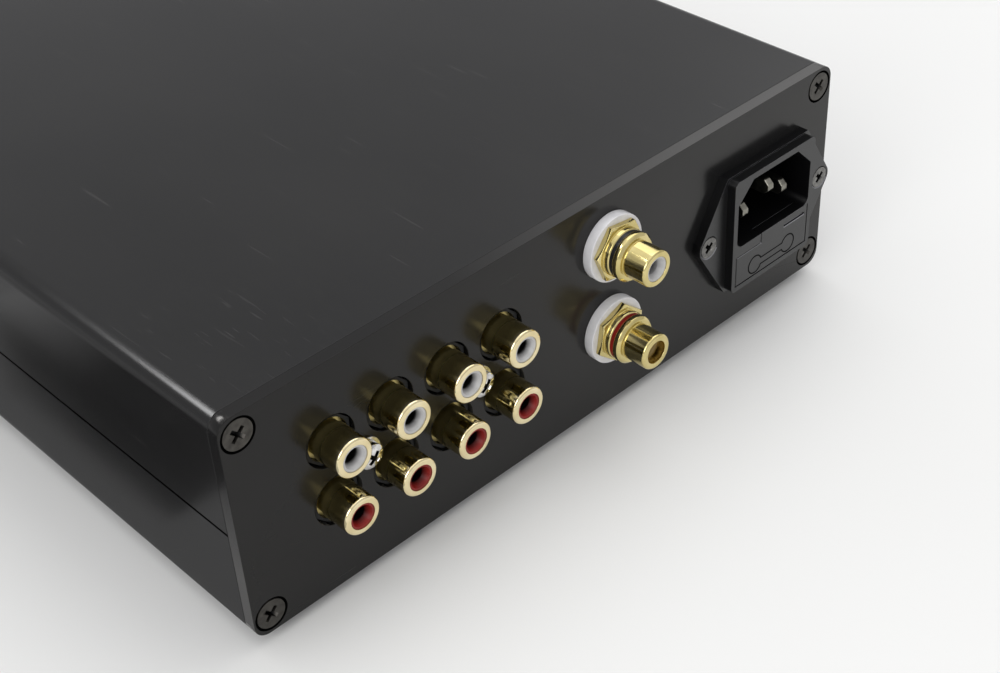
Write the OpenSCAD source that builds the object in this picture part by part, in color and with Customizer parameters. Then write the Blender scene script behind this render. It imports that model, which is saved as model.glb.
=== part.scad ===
// Remote control preamplifier in a split aluminium case, seen in the usual way:
// the knobs face -Y, the sockets face +Y, and it stands on the plane z = 0.

/* [Case] */
// Width of the case
case_w = 175; // [170:1:200]
// Height of the case without its feet
case_h = 55; // [54:1:62]
// Length of the two extruded shells
body_l = 210; // [200:1:260]
// Wall of the shells
wall = 3; // [2.5:0.1:3.4]
// Rounding along the four long edges
edge_r = 3.5; // [2.5:0.1:4]
// How far the seam lies below mid height
seam_drop = 1; // [0:0.1:2.5]
// Height of the tongue along the seam
tongue_h = 2; // [1.5:0.1:3]
// Thickness of the tongue along the seam
tongue_t = 1.3; // [1:0.1:1.6]
// Chamfer that draws the seam line
seam_chamfer = 0.3; // [0.2:0.05:0.5]
// How far the card rails reach in from the side walls
rail_reach = 2.5; // [1.5:0.1:3]
// Thickness of one card rail
rail_t = 1.2; // [1:0.1:1.6]
// Slot between two card rails
rail_slot = 2; // [1.8:0.1:2.4]
// Distance of the card rails from mid height
rail_z = 9; // [8:0.5:11]
// Height of the rubber feet
foot_h = 3; // [2.8:0.1:6]
// Diameter of the rubber feet
foot_d = 12; // [10:0.5:16]
// Distance of the feet from the sides and ends of the shells
foot_in = 16; // [14:0.5:22]
// Rounding of the feet
foot_r = 1.2; // [0.8:0.1:1.4]

/* [Panels and screws] */
// Thickness of the rear panel
rear_t = 3; // [2.5:0.1:3.5]
// Thickness of the front panel
front_t = 8; // [7.5:0.1:10]
// Chamfer round the front panel
front_chamfer = 1; // [0.5:0.1:1.5]
// Screw ports from the side of the case
port_in_x = 4.3; // [4.2:0.1:4.6]
// Screw ports from the top and bottom of the case
port_in_z = 4.6; // [4.4:0.1:4.8]
// Outer radius of a screw port
port_r = 3.2; // [2.8:0.1:3.4]
// Slot that opens each port towards the inside
port_slot = 1.2; // [0.8:0.1:1.6]
// Radius of the screw shanks
shank_r = 1.4; // [1.3:0.05:1.5]
// Radius of a countersunk head
head_r = 3.35; // [3.2:0.05:3.5]
// Straight rim of such a head
head_rim = 0.4; // [0.2:0.05:0.45]
// Radius of the countersink at the panel's face
sink_r = 3.85; // [3.75:0.05:4]
// Length of the panel screws
panel_screw_l = 14; // [12:0.5:16]
// Width of a cross recess arm
cross_w = 0.9; // [0.7:0.05:1.1]
// Depth of a cross recess
cross_deep = 1.3; // [1:0.05:1.5]

/* [Mains inlet] */
// Inlet centre from the side of the case
inlet_edge = 24.5; // [24.3:0.1:28]
// Inlet centre below mid height
inlet_drop = 0.5; // [0:0.1:2]
// Distance between the two inlet screws
inlet_pitch = 40; // [39:0.5:41]
// Radius of the rounded ears round the screws
ear_r = 3.2; // [3.1:0.1:3.6]
// Thickness of the flange on the panel
flange_t = 2.25; // [2:0.05:2.6]
// Height of the raised block above the panel
inlet_face = 4.5; // [4:0.1:5]
// Width of the raised block
inlet_w = 28.5; // [28.3:0.1:29.5]
// Height of the raised block
inlet_h = 30; // [29.8:0.1:31]
// Rounding of the inlet block's corners
inlet_r = 1.5; // [0.8:0.1:2]
// How far the flange shows above and below that block
flange_rim = 0.4; // [0.2:0.05:0.6]
// Width of the socket
socket_w = 25.8; // [25:0.1:26]
// Height of the socket
socket_h = 16.5; // [16:0.1:16.8]
// Bottom of the socket below the inlet's centre
socket_low = 3; // [2.8:0.1:3.2]
// Depth of the socket
socket_deep = 18; // [17:0.5:20]
// Keying chamfer at the socket's two upper corners
socket_key = 5; // [4:0.25:5.5]
// Rounding at the socket's two lower corners
socket_r = 2; // [1:0.25:3]
// Shell of the inlet behind the panel, at the sides
inlet_shell = 0.5; // [0.4:0.05:0.6]
// Floor behind the socket
inlet_floor = 2.5; // [2:0.1:3]
// Distance between the live and neutral blades
blade_pitch = 14; // [13.5:0.1:14.5]
// Height of the live and neutral blades above the inlet's centre
blade_z = 3.2; // [3:0.1:3.4]
// Earth blade above the other two
earth_rise = 4; // [3.8:0.1:4.2]
// Height of a blade
blade_h = 4; // [3.8:0.1:4.2]
// Thickness of a blade
blade_t = 2; // [1.8:0.1:2.2]
// Blade tips behind the inlet's face
blade_back = 2.6; // [2:0.1:3]
// How much further the earth blade reaches out
earth_long = 1.4; // [1:0.1:1.6]
// Length of the solder tabs behind the inlet
tab_l = 10; // [8:0.5:12]
// Thickness of the solder tabs
tab_t = 0.8; // [0.6:0.1:1]

/* [Fuse drawer] */
// Width of the drawer
drawer_w = 25.5; // [25:0.1:25.6]
// Height of the drawer's tray
drawer_h = 7.8; // [7.6:0.1:8]
// Top of the tray below the inlet's centre
drawer_top = 5.7; // [5.6:0.1:5.9]
// Length of the drawer
drawer_l = 18; // [16:0.5:18]
// Width of the raised tab beside the notch
drawer_tab_w = 16.75; // [14:0.25:18]
// Thickness of the drawer's front
drawer_front_t = 2.5; // [2:0.1:3]
// Wall of the tray
drawer_wall = 1.2; // [1:0.1:1.4]
// Gap round the drawer
drawer_gap = 0.25; // [0.2:0.01:0.3]
// Radius of the fuse's caps
fuse_r = 2.6; // [2.4:0.05:2.7]
// Length of the fuse
fuse_l = 20; // [19:0.25:20.5]
// Length of a fuse cap
fuse_cap_l = 5; // [4:0.25:6]

/* [Input sockets] */
// Outermost column of inputs from the side of the case
input_edge = 23.6; // [23:0.1:28]
// Middle of the two input rows above mid height
input_rise = 1.7; // [0:0.1:3]
// Distance between columns
input_pitch_x = 14.87; // [14.5:0.05:15.2]
// Distance between rows
input_pitch_z = 14.68; // [14.5:0.05:15]
// How far a barrel stands out of the panel
barrel_out = 7.3; // [6.8:0.1:8]
// Outer radius of a barrel
barrel_r = 4.3; // [4.2:0.01:4.4]
// Wall of a barrel
barrel_wall = 0.95; // [0.8:0.01:1]
// Radius of the collar at a barrel's base
collar_r = 4.75; // [4.6:0.05:4.9]
// How far the collar stays below the panel's face
collar_back = 2.2; // [1.8:0.1:2.4]
// Width of a socket's rolled lip
lip_w = 1.35; // [1.2:0.05:1.5]
// Length of that lip
lip_l = 1.2; // [1:0.05:1.5]
// Rounding of that lip
lip_round = 0.6; // [0.4:0.05:0.8]
// Radius of the panel's holes round the barrels
input_hole_r = 5.9; // [5.85:0.05:6.2]
// Width of the eight-sided bosses in those holes, across flats
boss_flats = 10.7; // [10.5:0.05:10.8]
// How far the bosses stay below the panel's face
boss_back = 0.8; // [0.5:0.1:1.2]
// Depth of the socket block behind the panel
block_deep = 12; // [11:0.5:14]
// Radius of the hole for a plug's centre pin
plug_hole_r = 1.75; // [1.7:0.01:1.8]
// Insulator behind the barrel's rim
insulator_back = 0.2; // [0.1:0.05:0.6]
// Outer radius of a centre contact
contact_r = 2.2; // [2.1:0.05:2.3]
// Radius of a retaining dimple
dimple_r = 0.6; // [0.4:0.05:0.7]
// Head radius of the block's screws
pan_r = 2.8; // [2.5:0.05:3]
// Head height of the block's screws
pan_h = 2.4; // [2:0.1:2.8]
// Washer radius under those heads
washer_r = 3.5; // [3.2:0.05:3.8]
// Washer thickness
washer_t = 0.7; // [0.5:0.05:0.9]

/* [Output sockets] */
// Output sockets from the inlet's centre
output_from_inlet = 50.5; // [46:0.5:53]
// Middle of the two output sockets above mid height
output_rise = 4.3; // [3:0.1:5]
// Distance between the two output sockets
output_pitch = 21.6; // [20:0.1:23]
// How far the output sockets stand out of the panel
output_out = 13.8; // [13:0.1:16]
// Radius of the insulating washers
ring_r = 7.85; // [7.5:0.05:8.2]
// Thickness of the insulating washers
ring_t = 2.4; // [2:0.1:2.8]
// Hexagon of the output bodies, across flats
output_hex = 12.4; // [12:0.1:12.8]
// Thickness of that hexagon
output_hex_l = 1.4; // [1.2:0.1:1.8]
// Turn of the upper hexagon, as it was tightened
upper_turn = 8; // [0:1:59]
// Turn of the lower hexagon
lower_turn = 40; // [0:1:59]
// Length of the turned neck before the colour ring
output_neck_l = 1.4; // [1:0.1:1.8]
// Width of the colour ring
marker_t = 1; // [0.8:0.05:1.3]
// Radius of the round flange and the colour ring
output_flange_r = 5.6; // [5.4:0.05:5.8]
// Length of the round flange
output_flange_l = 1.7; // [1.4:0.1:2]
// Outer radius of an output barrel
output_barrel_r = 4.2; // [4.1:0.01:4.25]
// Radius of the threaded tail
tail_r = 3.9; // [3.75:0.05:4]
// Length of the tail behind the panel
tail_l = 9; // [8.5:0.1:11]
// Nut behind the panel, across flats
output_nut = 11; // [10.6:0.1:11.4]
// Thickness of that nut
output_nut_t = 2.5; // [2.2:0.1:3]
// Thickness of the solder tag
solder_tag_t = 0.6; // [0.4:0.05:0.8]

/* [Front controls] */
// Depth of the pockets milled behind the front panel
pocket_deep = 5; // [4.8:0.1:5.4]
// Volume knob centre from the side of the case
volume_edge = 40; // [36:1:46]
// Diameter of the volume knob
volume_d = 38; // [34:1:42]
// Length of the volume knob
volume_l = 18; // [17:0.5:22]
// Diameter of the source knob
source_d = 26; // [24:1:28]
// Length of the source knob
source_l = 16; // [15:0.5:17]
// Gap between the knobs and the panel
knob_gap = 1; // [0.6:0.1:1.5]
// Rounding of the knobs' rims
knob_r = 1.5; // [0.8:0.1:2]
// Depth of the hollow behind a knob
knob_hollow = 7; // [6.5:0.1:8]
// Radius of the pot's and encoder's shafts
spindle_r = 3; // [2.9:0.05:3.1]
// Radius of the bushings round the shafts
bushing_r = 4.4; // [4.2:0.05:4.6]
// Thread of the bushings in front of the panel
bushing_out = 4; // [3.5:0.1:4.5]
// Bushing nuts across flats
bushing_nut = 12; // [11.5:0.1:13]
// Thickness of the bushing nuts
bushing_nut_t = 2.5; // [2:0.1:3]
// Side of the square volume pot
pot_side = 25; // [24:0.5:27]
// Length of the volume pot behind the panel
pot_l = 20; // [18:0.5:24]
// Radius of the pot's round front bearing
pot_boss_r = 10; // [9:0.5:11]
// Length of the gear case behind the pot
gear_l = 9; // [8:0.5:11]
// Radius of the drive motor
motor_r = 7.8; // [7:0.1:8.5]
// Length of the drive motor
motor_l = 22; // [20:0.5:26]
// Side of the encoder
encoder_side = 13; // [12:0.5:14]
// Length of the encoder
encoder_l = 6.5; // [6.2:0.1:7]
// Power button from the side of the case
button_edge = 20; // [18:0.5:24]
// Radius of the power button
button_r = 5; // [4.5:0.1:5.5]
// How far the power button stands out
button_out = 4; // [3.5:0.1:5]
// Travel of the power button
button_travel = 2.5; // [2:0.1:2.8]
// Radius of the button's stem
stem_r = 1.5; // [1.3:0.05:1.7]
// Length of the power switch
switch_l = 10; // [9.5:0.5:13]
// Infrared window from the power button
window_step = 24; // [22:0.5:28]
// Width of the infrared window
window_w = 14; // [12:0.5:16]
// Height of the infrared window
window_h = 8; // [7:0.5:9]
// Distance between the source lights
light_pitch = 8; // [7:0.5:9]
// Source lights above mid height
light_rise = 19; // [18:0.5:19.5]
// Radius of the source lights
light_r = 1.5; // [1.3:0.05:1.7]

/* [Boards and supply] */
// Thickness of the circuit boards
board_t = 1.6; // [1.5:0.1:1.7]
// Length of the preamplifier board
main_l = 76; // [70:1:80]
// Margin of that board beside the socket block
main_margin = 8; // [7:0.5:9]
// Width of the supply board
supply_w = 58; // [56:1:60]
// Length of the supply board
supply_l = 56; // [54:1:60]
// Board mounting holes from the board's corners
board_in = 4; // [3.8:0.1:4.5]
// Standoffs across flats
standoff_flats = 5.5; // [5:0.1:6]
// Radius of the supply's filter capacitors
filter_r = 8; // [7:0.25:8.25]
// Height of the filter capacitors
filter_h = 25; // [22:0.5:28]
// Outer diameter of the toroidal transformer
toroid_d = 70; // [64:1:72]
// Hole of the toroidal transformer
toroid_hole = 22; // [20:1:26]
// Height of the toroidal transformer
toroid_h = 32; // [28:1:34]
// Thickness of the transformer's rubber pads
pad_t = 2; // [1.5:0.1:2.5]
// Radius of the transformer's bolt
bolt_r = 2.5; // [2.3:0.05:2.7]

/* [Hidden] */
$fn = 48;
cut = 0.1;
fit = 0.05;
slide_fit = 0.15;

// Main planes: the part's box is centred on x = 0 and y = 0.
front_out = knob_gap + volume_l;
case_l = front_t + body_l + rear_t;
rear_y = (case_l + front_out + output_out) / 2 - output_out;
front_y = rear_y - case_l;
front_in = front_y + front_t;
rear_in = rear_y - rear_t;
mid_z = foot_h + case_h / 2;
floor_z = foot_h + wall;
seam_z = -seam_drop;
half_w = case_w / 2;
half_h = case_h / 2;
inner_w = case_w - 2 * wall;
inner_h = case_h - 2 * wall;
inner_r = max(0.5, edge_r - wall);
port_x = half_w - port_in_x;
port_z = half_h - port_in_z;
clear_r = shank_r + 0.3;
port_hole_r = shank_r + fit;

// Rear layout
inlet_x = -(half_w - inlet_edge);
inlet_z = mid_z - inlet_drop;
output_x = inlet_x + output_from_inlet;
output_z = mid_z + output_rise;
input_cols = 4;
input_x0 = half_w - input_edge;
input_x = input_x0 - (input_cols - 1) / 2 * input_pitch_x;
input_z = mid_z + input_rise;
block_w = input_cols * input_pitch_x;
block_h = 2 * input_pitch_z;
input_places = [for (row = [1, -1], col = [0:input_cols - 1])
    [input_x0 - col * input_pitch_x, input_z + row * input_pitch_z / 2]];
white_places = [for (i = [0:input_cols - 1]) input_places[i]];
red_places = [for (i = [0:input_cols - 1]) input_places[input_cols + i]];
block_screw_places = [for (x = [-1, 1]) [input_x + x * input_pitch_x, input_z]];
output_places = [for (row = [1, -1]) [output_x, output_z + row * output_pitch / 2]];
inlet_step = 0.5;
socket_top = socket_h - socket_low;
ear_sink = 2.9;
ear_head = 2.55;
ear_rim = 0.25;
ring_sleeve = 0.9;
button_lip = 1.5;
window_lip = 1.5;
lip_t = 1;
fuse_skin = 0.3;
fuse_wall = 0.5;
pry_in = 1;
pry_w = 7.4;
pry_rise = 0.3;
pry_h = 0.6;
pry_deep = 0.6;
white_dimples = [200, 315, 200, 320];
red_dimples = [100, 50, 100, 30];
block_floor = 3;
barrel_deep = block_deep - block_floor;
block_screw_in = 6;
barrel_bore = barrel_r - barrel_wall;
barrel_mouth = barrel_r - lip_w;
contact_step = 4;
contact_wall = 0.65;
lead_w = 0.7;
lead_l = 1.4;
barrel_relief = 0.35;
dimple_back = 1.3;
pin_r = 0.5;
white_tail = 4;
red_tail = 2;
output_bore = output_barrel_r - barrel_wall;
output_mouth = output_barrel_r - lip_w;
output_hex_y = ring_t + output_hex_l;
output_neck_y = output_hex_y + output_neck_l;
output_flange_y = output_neck_y + marker_t;
output_barrel_y = output_flange_y + output_flange_l;
marker_bed = 1;
marker_sink = 0.2;
tag_r = 6;
tag_reach = 11;
tag_w = 4;
tag_hole_r = 0.9;
contact_tail = 6;
amber_back = 2.4;
mouth_r = 2.7;
hex_chamfer = 0.3;
neck_chamfer = 0.3;

// Front layout
web_t = front_t - pocket_deep;
volume_x = half_w - volume_edge;
source_x = 0;
button_x = -(half_w - button_edge);
window_x = button_x + window_step;
pocket_y = front_y + web_t;
board_y = pocket_y + encoder_l;
light_count = 4;
light_z = mid_z + light_rise;

// Boards
board_top = input_z - block_h / 2;
board_low = board_top - board_t;
standoff_h = board_low - floor_z;
main_w = block_w + 2 * main_margin;
main_edge = 0.3;
relay_w = 7.5;
relay_l = 15;
relay_h = 10;
relay_at = 36;
film_w = 6;
film_l = 12;
film_h = 11;
film_at = 18;
chip_at = 9;
chip_w = 6.4;
chip_l = 9.8;
chip_h = 3.3;
chip_lift = 0.6;
chip_rows = 7.62;
chip_pitch = 2.54;
chip_knee = 2;
leg_t = 0.3;
leg_w = 0.5;
main_y = rear_in - main_edge - main_l;
supply_x = -(half_w - wall - 5 - supply_w / 2);
supply_gap = 8;
inlet_base = inlet_face - socket_deep - inlet_floor;
supply_y = rear_y + inlet_base - tab_l - supply_gap - supply_l;
board_screw_l = min(5, standoff_h / 2 - 0.3);
toroid_gap = 4;
toroid_from_board = 16;
toroid_x = -(half_w - wall - toroid_gap - toroid_d / 2);
toroid_y = board_y + board_t + toroid_from_board + toroid_d / 2;
toroid_low = floor_z + pad_t;
toroid_top = toroid_low + toroid_h + pad_t;
toroid_r = 6;
dish_t = 1.2;
dish_well = 4;
dish_r = toroid_d / 2 - 5;
bolt_nut_t = 4;
board_pan_r = 2.7;
board_pan_h = 2;
front_board_reach = 24;
front_board_side = 4.5;
front_board_edge = 2.5;
front_board_w = source_x + front_board_reach + half_w - wall - front_board_side;
front_board_h = inner_h - 2 * front_board_edge;
front_board_x = source_x + front_board_reach - front_board_w / 2;
front_board_places = [for (x = [-1, 1], z = [-1, 1])
    [front_board_x + x * (front_board_w / 2 - board_in), mid_z + z * (front_board_h / 2 - board_in)]];
crimp = 0.6;
crimp_z = 2.8;
bridge_t = 4;
bridge_in = 4;
bridge_at = 12;
bridge_l = 20;
bridge_h = 15;
bridge_key = 3;
bridge_pitch = 5;
tab_w = 10;
tab_up = 15.5;
tab_back = 1.3;
mould_t = 3.2;
mould_h = 9;
leg_up = 4;
heat_x = 12;
heat_fins = 6;
heat_fin_t = 1.2;
heat_base_t = 2;
heat_w = 20;
heat_deep = 7;
heat_h = 24;
lead_r = 1.2;
filter_space = 1;
filters_l = 4 * filter_r + filter_space;
regulator_l = tab_back + mould_t;
supply_spare = (supply_l - filters_l - regulator_l - heat_deep - 2 * lead_r) / 4;
heat_at = 2 * supply_spare + filters_l + regulator_l;
lead_back = supply_spare + lead_r;

// Controls, measured from the front panel's face
board_at = web_t + encoder_l;
hollow_r = bushing_nut / cos(30) / 2 + 1.5;
shaft_back = 3.5;
set_screw_r = 1.5;
set_screw_l = 6;
stem_in = 5;
stem_end = board_at + board_t + stem_in;
switch_side = 13;
button_gap = 0.3;
lens_r = 2.2;
lens_l = 5;
receiver_w = 6;
receiver_h = 7;
window_r = 2;

// Profile in x and z, drawn out along Y from y to y + l
module slab(y, l) {
    translate([0, y + l, 0]) rotate([90, 0, 0]) linear_extrude(l) children();
}

// Round bar along Y from y to y + l
module rod(y, l, r) {
    translate([0, y + l, 0]) rotate([90, 0, 0]) cylinder(h = l, r = r);
}

// Profile of radius and y, turned round the Y axis
module turned() {
    rotate([-90, 0, 0]) rotate_extrude() children();
}

// Block from its least corner
module block(x, y, z, w, l, h) {
    translate([x, y, z]) cube([w, l, h]);
}

// Six-sided bar along Y with a round hole
module hex_nut(y, t, flats, hole) {
    difference() {
        rotate([0, 30, 0]) rod6(y, t, flats);
        rod(y - cut, t + 2 * cut, hole);
    }
}

module rod6(y, l, flats) {
    translate([0, y + l, 0]) rotate([90, 0, 0]) cylinder(h = l, d = flats / cos(30), $fn = 6);
}

// Rectangle with true round corners
module round_rect(w, h, r) {
    square([w - 2 * r, h], center = true);
    square([w, h - 2 * r], center = true);
    for (x = [-1, 1], y = [-1, 1])
        translate([x * (w / 2 - r), y * (h / 2 - r)]) circle(r);
}

module at_rear(x, z) { translate([x, rear_y, z]) children(); }

module at_front(x, z) { translate([x, front_y, z]) children(); }

module at_corners() {
    for (x = [-1, 1], z = [-1, 1])
        translate([x * port_x, 0, mid_z + z * port_z]) children();
}

// Cross recess sunk from y = top, with arms that run to half their span
module cross_recess(top, span) {
    low = top - cross_deep;
    for (turn = [45, 135]) rotate([0, turn, 0]) linear_extrude(cross_w, center = true)
        polygon([[-span / 2, top + cut], [span / 2, top + cut], [span / 4, low], [-span / 4, low]]);
}

// Countersunk screw whose panel face is y = 0, pointing to -Y
module sunk_screw(l, sink, head, rim) {
    top = head - sink + fit + rim;
    difference() {
        turned() polygon([[0, top], [head, top], [head, top - rim], [shank_r, shank_r - sink + fit],
            [shank_r, -l], [0, -l]]);
        cross_recess(top, 1.15 * head);
    }
}

module sunk_hole(t, sink) {
    turned() polygon([[0, cut], [sink + cut, cut], [clear_r, clear_r - sink],
        [clear_r, -t - cut], [0, -t - cut]]);
}

// Pan-head screw whose seat is y = 0, pointing to -Y
module pan_screw(l, r, h) {
    difference() {
        turned() intersection() {
            union() {
                square([r, h]);
                translate([0, -l]) square([shank_r, l + cut]);
            }
            union() {
                translate([0, h - 2 * r]) circle(2 * r);
                translate([0, -l]) square([shank_r, l + cut]);
            }
        }
        cross_recess(h, 1.3 * r);
    }
}

// Shell section: wall, screw ports and card rails
module shell_ring() {
    rail_mid = (inner_w - rail_reach + wall / 2) / 2;
    difference() {
        round_rect(case_w, case_h, edge_r);
        round_rect(inner_w, inner_h, inner_r);
    }
    intersection() {
        round_rect(case_w, case_h, edge_r);
        for (x = [-1, 1], z = [-1, 1]) {
            translate([x * port_x, z * port_z]) circle(port_r);
            translate([x * (port_x + port_in_x / 2), z * port_z])
                square([port_in_x, 2 * port_r], center = true);
            translate([x * port_x, z * (port_z + port_in_z / 2)])
                square([2 * port_r, port_in_z], center = true);
        }
    }
    for (x = [-1, 1], z = [-1, 1], step = [0, 1])
        translate([x * rail_mid, z * (rail_z + rail_t / 2 + step * (rail_t + rail_slot))])
            square([rail_reach + wall / 2, rail_t], center = true);
}

module port_holes() {
    for (x = [-1, 1], z = [-1, 1]) translate([x * port_x, z * port_z]) {
        circle(port_hole_r);
        rotate(atan2(-z, -x)) translate([0, -port_slot / 2]) square([2 * port_r, port_slot]);
    }
}

module seam_groove() {
    for (x = [-1, 1]) translate([x * half_w, seam_z]) rotate(45)
        square(seam_chamfer * sqrt(2), center = true);
}

module upper_section() {
    difference() {
        intersection() {
            shell_ring();
            translate([-half_w, seam_z]) square([case_w, case_h]);
        }
        port_holes();
        seam_groove();
        for (x = [-1, 1]) translate([x * (inner_w + tongue_t + slide_fit - cut) / 2, seam_z + tongue_h / 2])
            square([tongue_t + slide_fit + cut, tongue_h + 2 * slide_fit], center = true);
    }
}

module lower_section() {
    difference() {
        intersection() {
            shell_ring();
            translate([-half_w, seam_z - case_h]) square([case_w, case_h]);
        }
        port_holes();
        seam_groove();
    }
    for (x = [-1, 1]) translate([x * (inner_w + tongue_t) / 2, seam_z + tongue_h / 2 - cut])
        square([tongue_t, tongue_h + 2 * cut], center = true);
}

module upper_shell() {
    color("#2e2f31") translate([0, 0, mid_z]) slab(front_in, body_l) upper_section();
}

module at_foot_places() {
    for (x = [-1, 1], y = [front_in + foot_in, rear_in - foot_in])
        translate([x * (half_w - foot_in), y, 0]) children();
}

// Mounting holes of the two lying boards, at board height zero
module at_board_holes() {
    for (x = [-1, 1], y = [board_in, main_l - board_in])
        translate([input_x + x * (main_w / 2 - board_in), main_y + y, 0]) children();
    for (x = [-1, 1], y = [board_in, supply_l - board_in])
        translate([supply_x + x * (supply_w / 2 - board_in), supply_y + y, 0]) children();
}

module lower_shell() {
    color("#2c2d2f") difference() {
        translate([0, 0, mid_z]) slab(front_in, body_l) lower_section();
        at_board_holes() translate([0, 0, foot_h - cut]) cylinder(h = wall + 2 * cut, r = clear_r);
        translate([toroid_x, toroid_y, foot_h - cut]) cylinder(h = wall + 2 * cut, r = bolt_r + fit);
    }
}

module feet() {
    color("#141414") at_foot_places() rotate_extrude() difference() {
        union() {
            translate([0, foot_r]) square([foot_d / 2, foot_h - foot_r]);
            square([foot_d / 2 - foot_r, foot_h]);
            translate([foot_d / 2 - foot_r, foot_r]) circle(foot_r);
        }
        translate([-foot_d, -cut]) square([foot_d, foot_h + 2 * cut]);
    }
}

// Panel outline in x and z
module panel_outline() { translate([0, mid_z]) round_rect(case_w, case_h, edge_r); }

module inlet_cutout(gap) {
    translate([inlet_x, inlet_z])
        square([socket_w + 2 * inlet_shell + 2 * gap, inlet_h - 2 * inlet_step + 2 * gap], center = true);
}

module rear_panel() {
    color("#303133") difference() {
        slab(rear_in, rear_t) difference() {
            panel_outline();
            at_inputs() circle(input_hole_r);
            at_block_screws() circle(clear_r);
            at_outputs() circle(tail_r + ring_sleeve + 2 * fit);
            inlet_cutout(slide_fit);
            for (x = [-1, 1]) translate([inlet_x + x * inlet_pitch / 2, inlet_z]) circle(shank_r + fit);
        }
        translate([0, rear_y, 0]) at_corners() sunk_hole(rear_t, sink_r);
    }
}

module rear_panel_screws() {
    color("#232323") translate([0, rear_y, 0]) at_corners()
        sunk_screw(panel_screw_l, sink_r, head_r, head_rim);
}

module front_panel() {
    color("#303133") difference() {
        slab(front_y, front_t) difference() {
            panel_outline();
            translate([volume_x, mid_z]) circle(bushing_r + fit);
            translate([source_x, mid_z]) circle(bushing_r + fit);
            translate([button_x, mid_z]) circle(button_r + button_gap);
            translate([window_x, mid_z]) round_rect(window_w + 2 * fit, window_h + 2 * fit, window_r);
            at_lights() circle(light_r + fit);
        }
        slab(pocket_y, front_t) {
            translate([volume_x, mid_z]) circle(pot_boss_r + slide_fit);
            translate([source_x, mid_z]) square(encoder_side + 2 * slide_fit, center = true);
            translate([button_x, mid_z]) circle(button_r + button_lip + button_gap);
            translate([window_x, mid_z])
                square([window_w + 2 * (window_lip + fit), window_h + 2 * (window_lip + fit)], center = true);
        }
        translate([0, front_y, 0]) mirror([0, 1, 0]) at_corners() sunk_hole(front_t, sink_r);
        at_front_board_holes() rod(front_in - pocket_deep, pocket_deep + cut, shank_r + fit);
        for (z = [-1, 1]) translate([0, front_y, mid_z + z * half_h]) rotate([45, 0, 0])
            cube([case_w + 1, front_chamfer * sqrt(2), front_chamfer * sqrt(2)], center = true);
        for (x = [-1, 1]) translate([x * half_w, front_y, mid_z]) rotate([0, 0, 45])
            cube([front_chamfer * sqrt(2), front_chamfer * sqrt(2), case_h + 1], center = true);
    }
}

module front_panel_screws() {
    color("#232323") translate([0, front_y, 0]) mirror([0, 1, 0]) at_corners()
        sunk_screw(front_t + panel_screw_l - rear_t, sink_r, head_r, head_rim);
}

// Places on the rear panel, in x and z
module at_inputs() { for (p = input_places) translate(p) children(); }

module at_block_screws() { for (p = block_screw_places) translate(p) children(); }

module at_outputs() { for (p = output_places) translate(p) children(); }

module at_inlet() { at_rear(inlet_x, inlet_z) children(); }

// Point where a line from p touches the round ear at the screw
function ear_touch(p) =
    let (to = p - [inlet_pitch / 2, 0], turn = atan2(to.y, to.x) - acos(ear_r / norm(to)))
    [inlet_pitch / 2 + ear_r * cos(turn), ear_r * sin(turn)];

module flange_outline() {
    corner = [inlet_w / 2, inlet_h / 2 + flange_rim];
    touch = ear_touch(corner);
    right = [corner, touch, [touch.x, -touch.y], [corner.x, -corner.y]];
    left = [for (i = [3:-1:0]) [-right[i].x, right[i].y]];
    polygon(concat(right, left));
    for (x = [-1, 1]) translate([x * inlet_pitch / 2, 0]) circle(ear_r);
}

// Keyed socket: two upper corners cut off, two lower corners round
module socket_outline() {
    side = socket_w / 2;
    polygon([[side, socket_r - socket_low], [side, socket_top - socket_key], [side - socket_key, socket_top],
        [socket_key - side, socket_top], [-side, socket_top - socket_key], [-side, socket_r - socket_low],
        [socket_r - side, -socket_low], [side - socket_r, -socket_low]]);
    for (x = [-1, 1]) translate([x * (side - socket_r), socket_r - socket_low]) circle(socket_r);
}

// Front of the drawer: a strip with a raised tab at one end
module drawer_outline(gap) {
    translate([-drawer_w / 2 - gap, -drawer_top - drawer_h - gap])
        square([drawer_w + 2 * gap, drawer_h + 2 * gap]);
    translate([-drawer_w / 2 - gap, -drawer_top - cut])
        square([drawer_tab_w + 2 * gap, drawer_top - socket_low + cut]);
}

module at_live() { for (x = [-1, 1]) translate([x * blade_pitch / 2, 0, blade_z]) children(); }

module at_earth() { translate([0, 0, blade_z + earth_rise]) children(); }

module blade_slot() {
    block(-blade_t / 2 - fit, inlet_base - cut, -blade_h / 2 - fit,
        blade_t + 2 * fit, inlet_floor + 2 * cut, blade_h + 2 * fit);
}

module inlet_housing() {
    color("#26272a") at_inlet() difference() {
        union() {
            slab(0, flange_t) flange_outline();
            slab(flange_t - cut, inlet_face - flange_t + cut) round_rect(inlet_w, inlet_h, inlet_r);
            slab(inlet_base, cut - inlet_base)
                square([socket_w + 2 * inlet_shell, inlet_h - 2 * inlet_step], center = true);
        }
        slab(inlet_face - socket_deep, socket_deep + cut) socket_outline();
        slab(inlet_face - drawer_l - drawer_gap, drawer_l + drawer_gap + cut)
            translate([0, -drawer_top - drawer_h / 2])
                square([drawer_w + 2 * drawer_gap, drawer_h + 2 * drawer_gap], center = true);
        slab(inlet_face - drawer_front_t - drawer_gap, drawer_front_t + drawer_gap + cut)
            drawer_outline(drawer_gap);
        at_live() blade_slot();
        at_earth() blade_slot();
        for (x = [-1, 1]) translate([x * inlet_pitch / 2, flange_t, 0]) sunk_hole(flange_t, ear_sink);
    }
}

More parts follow.
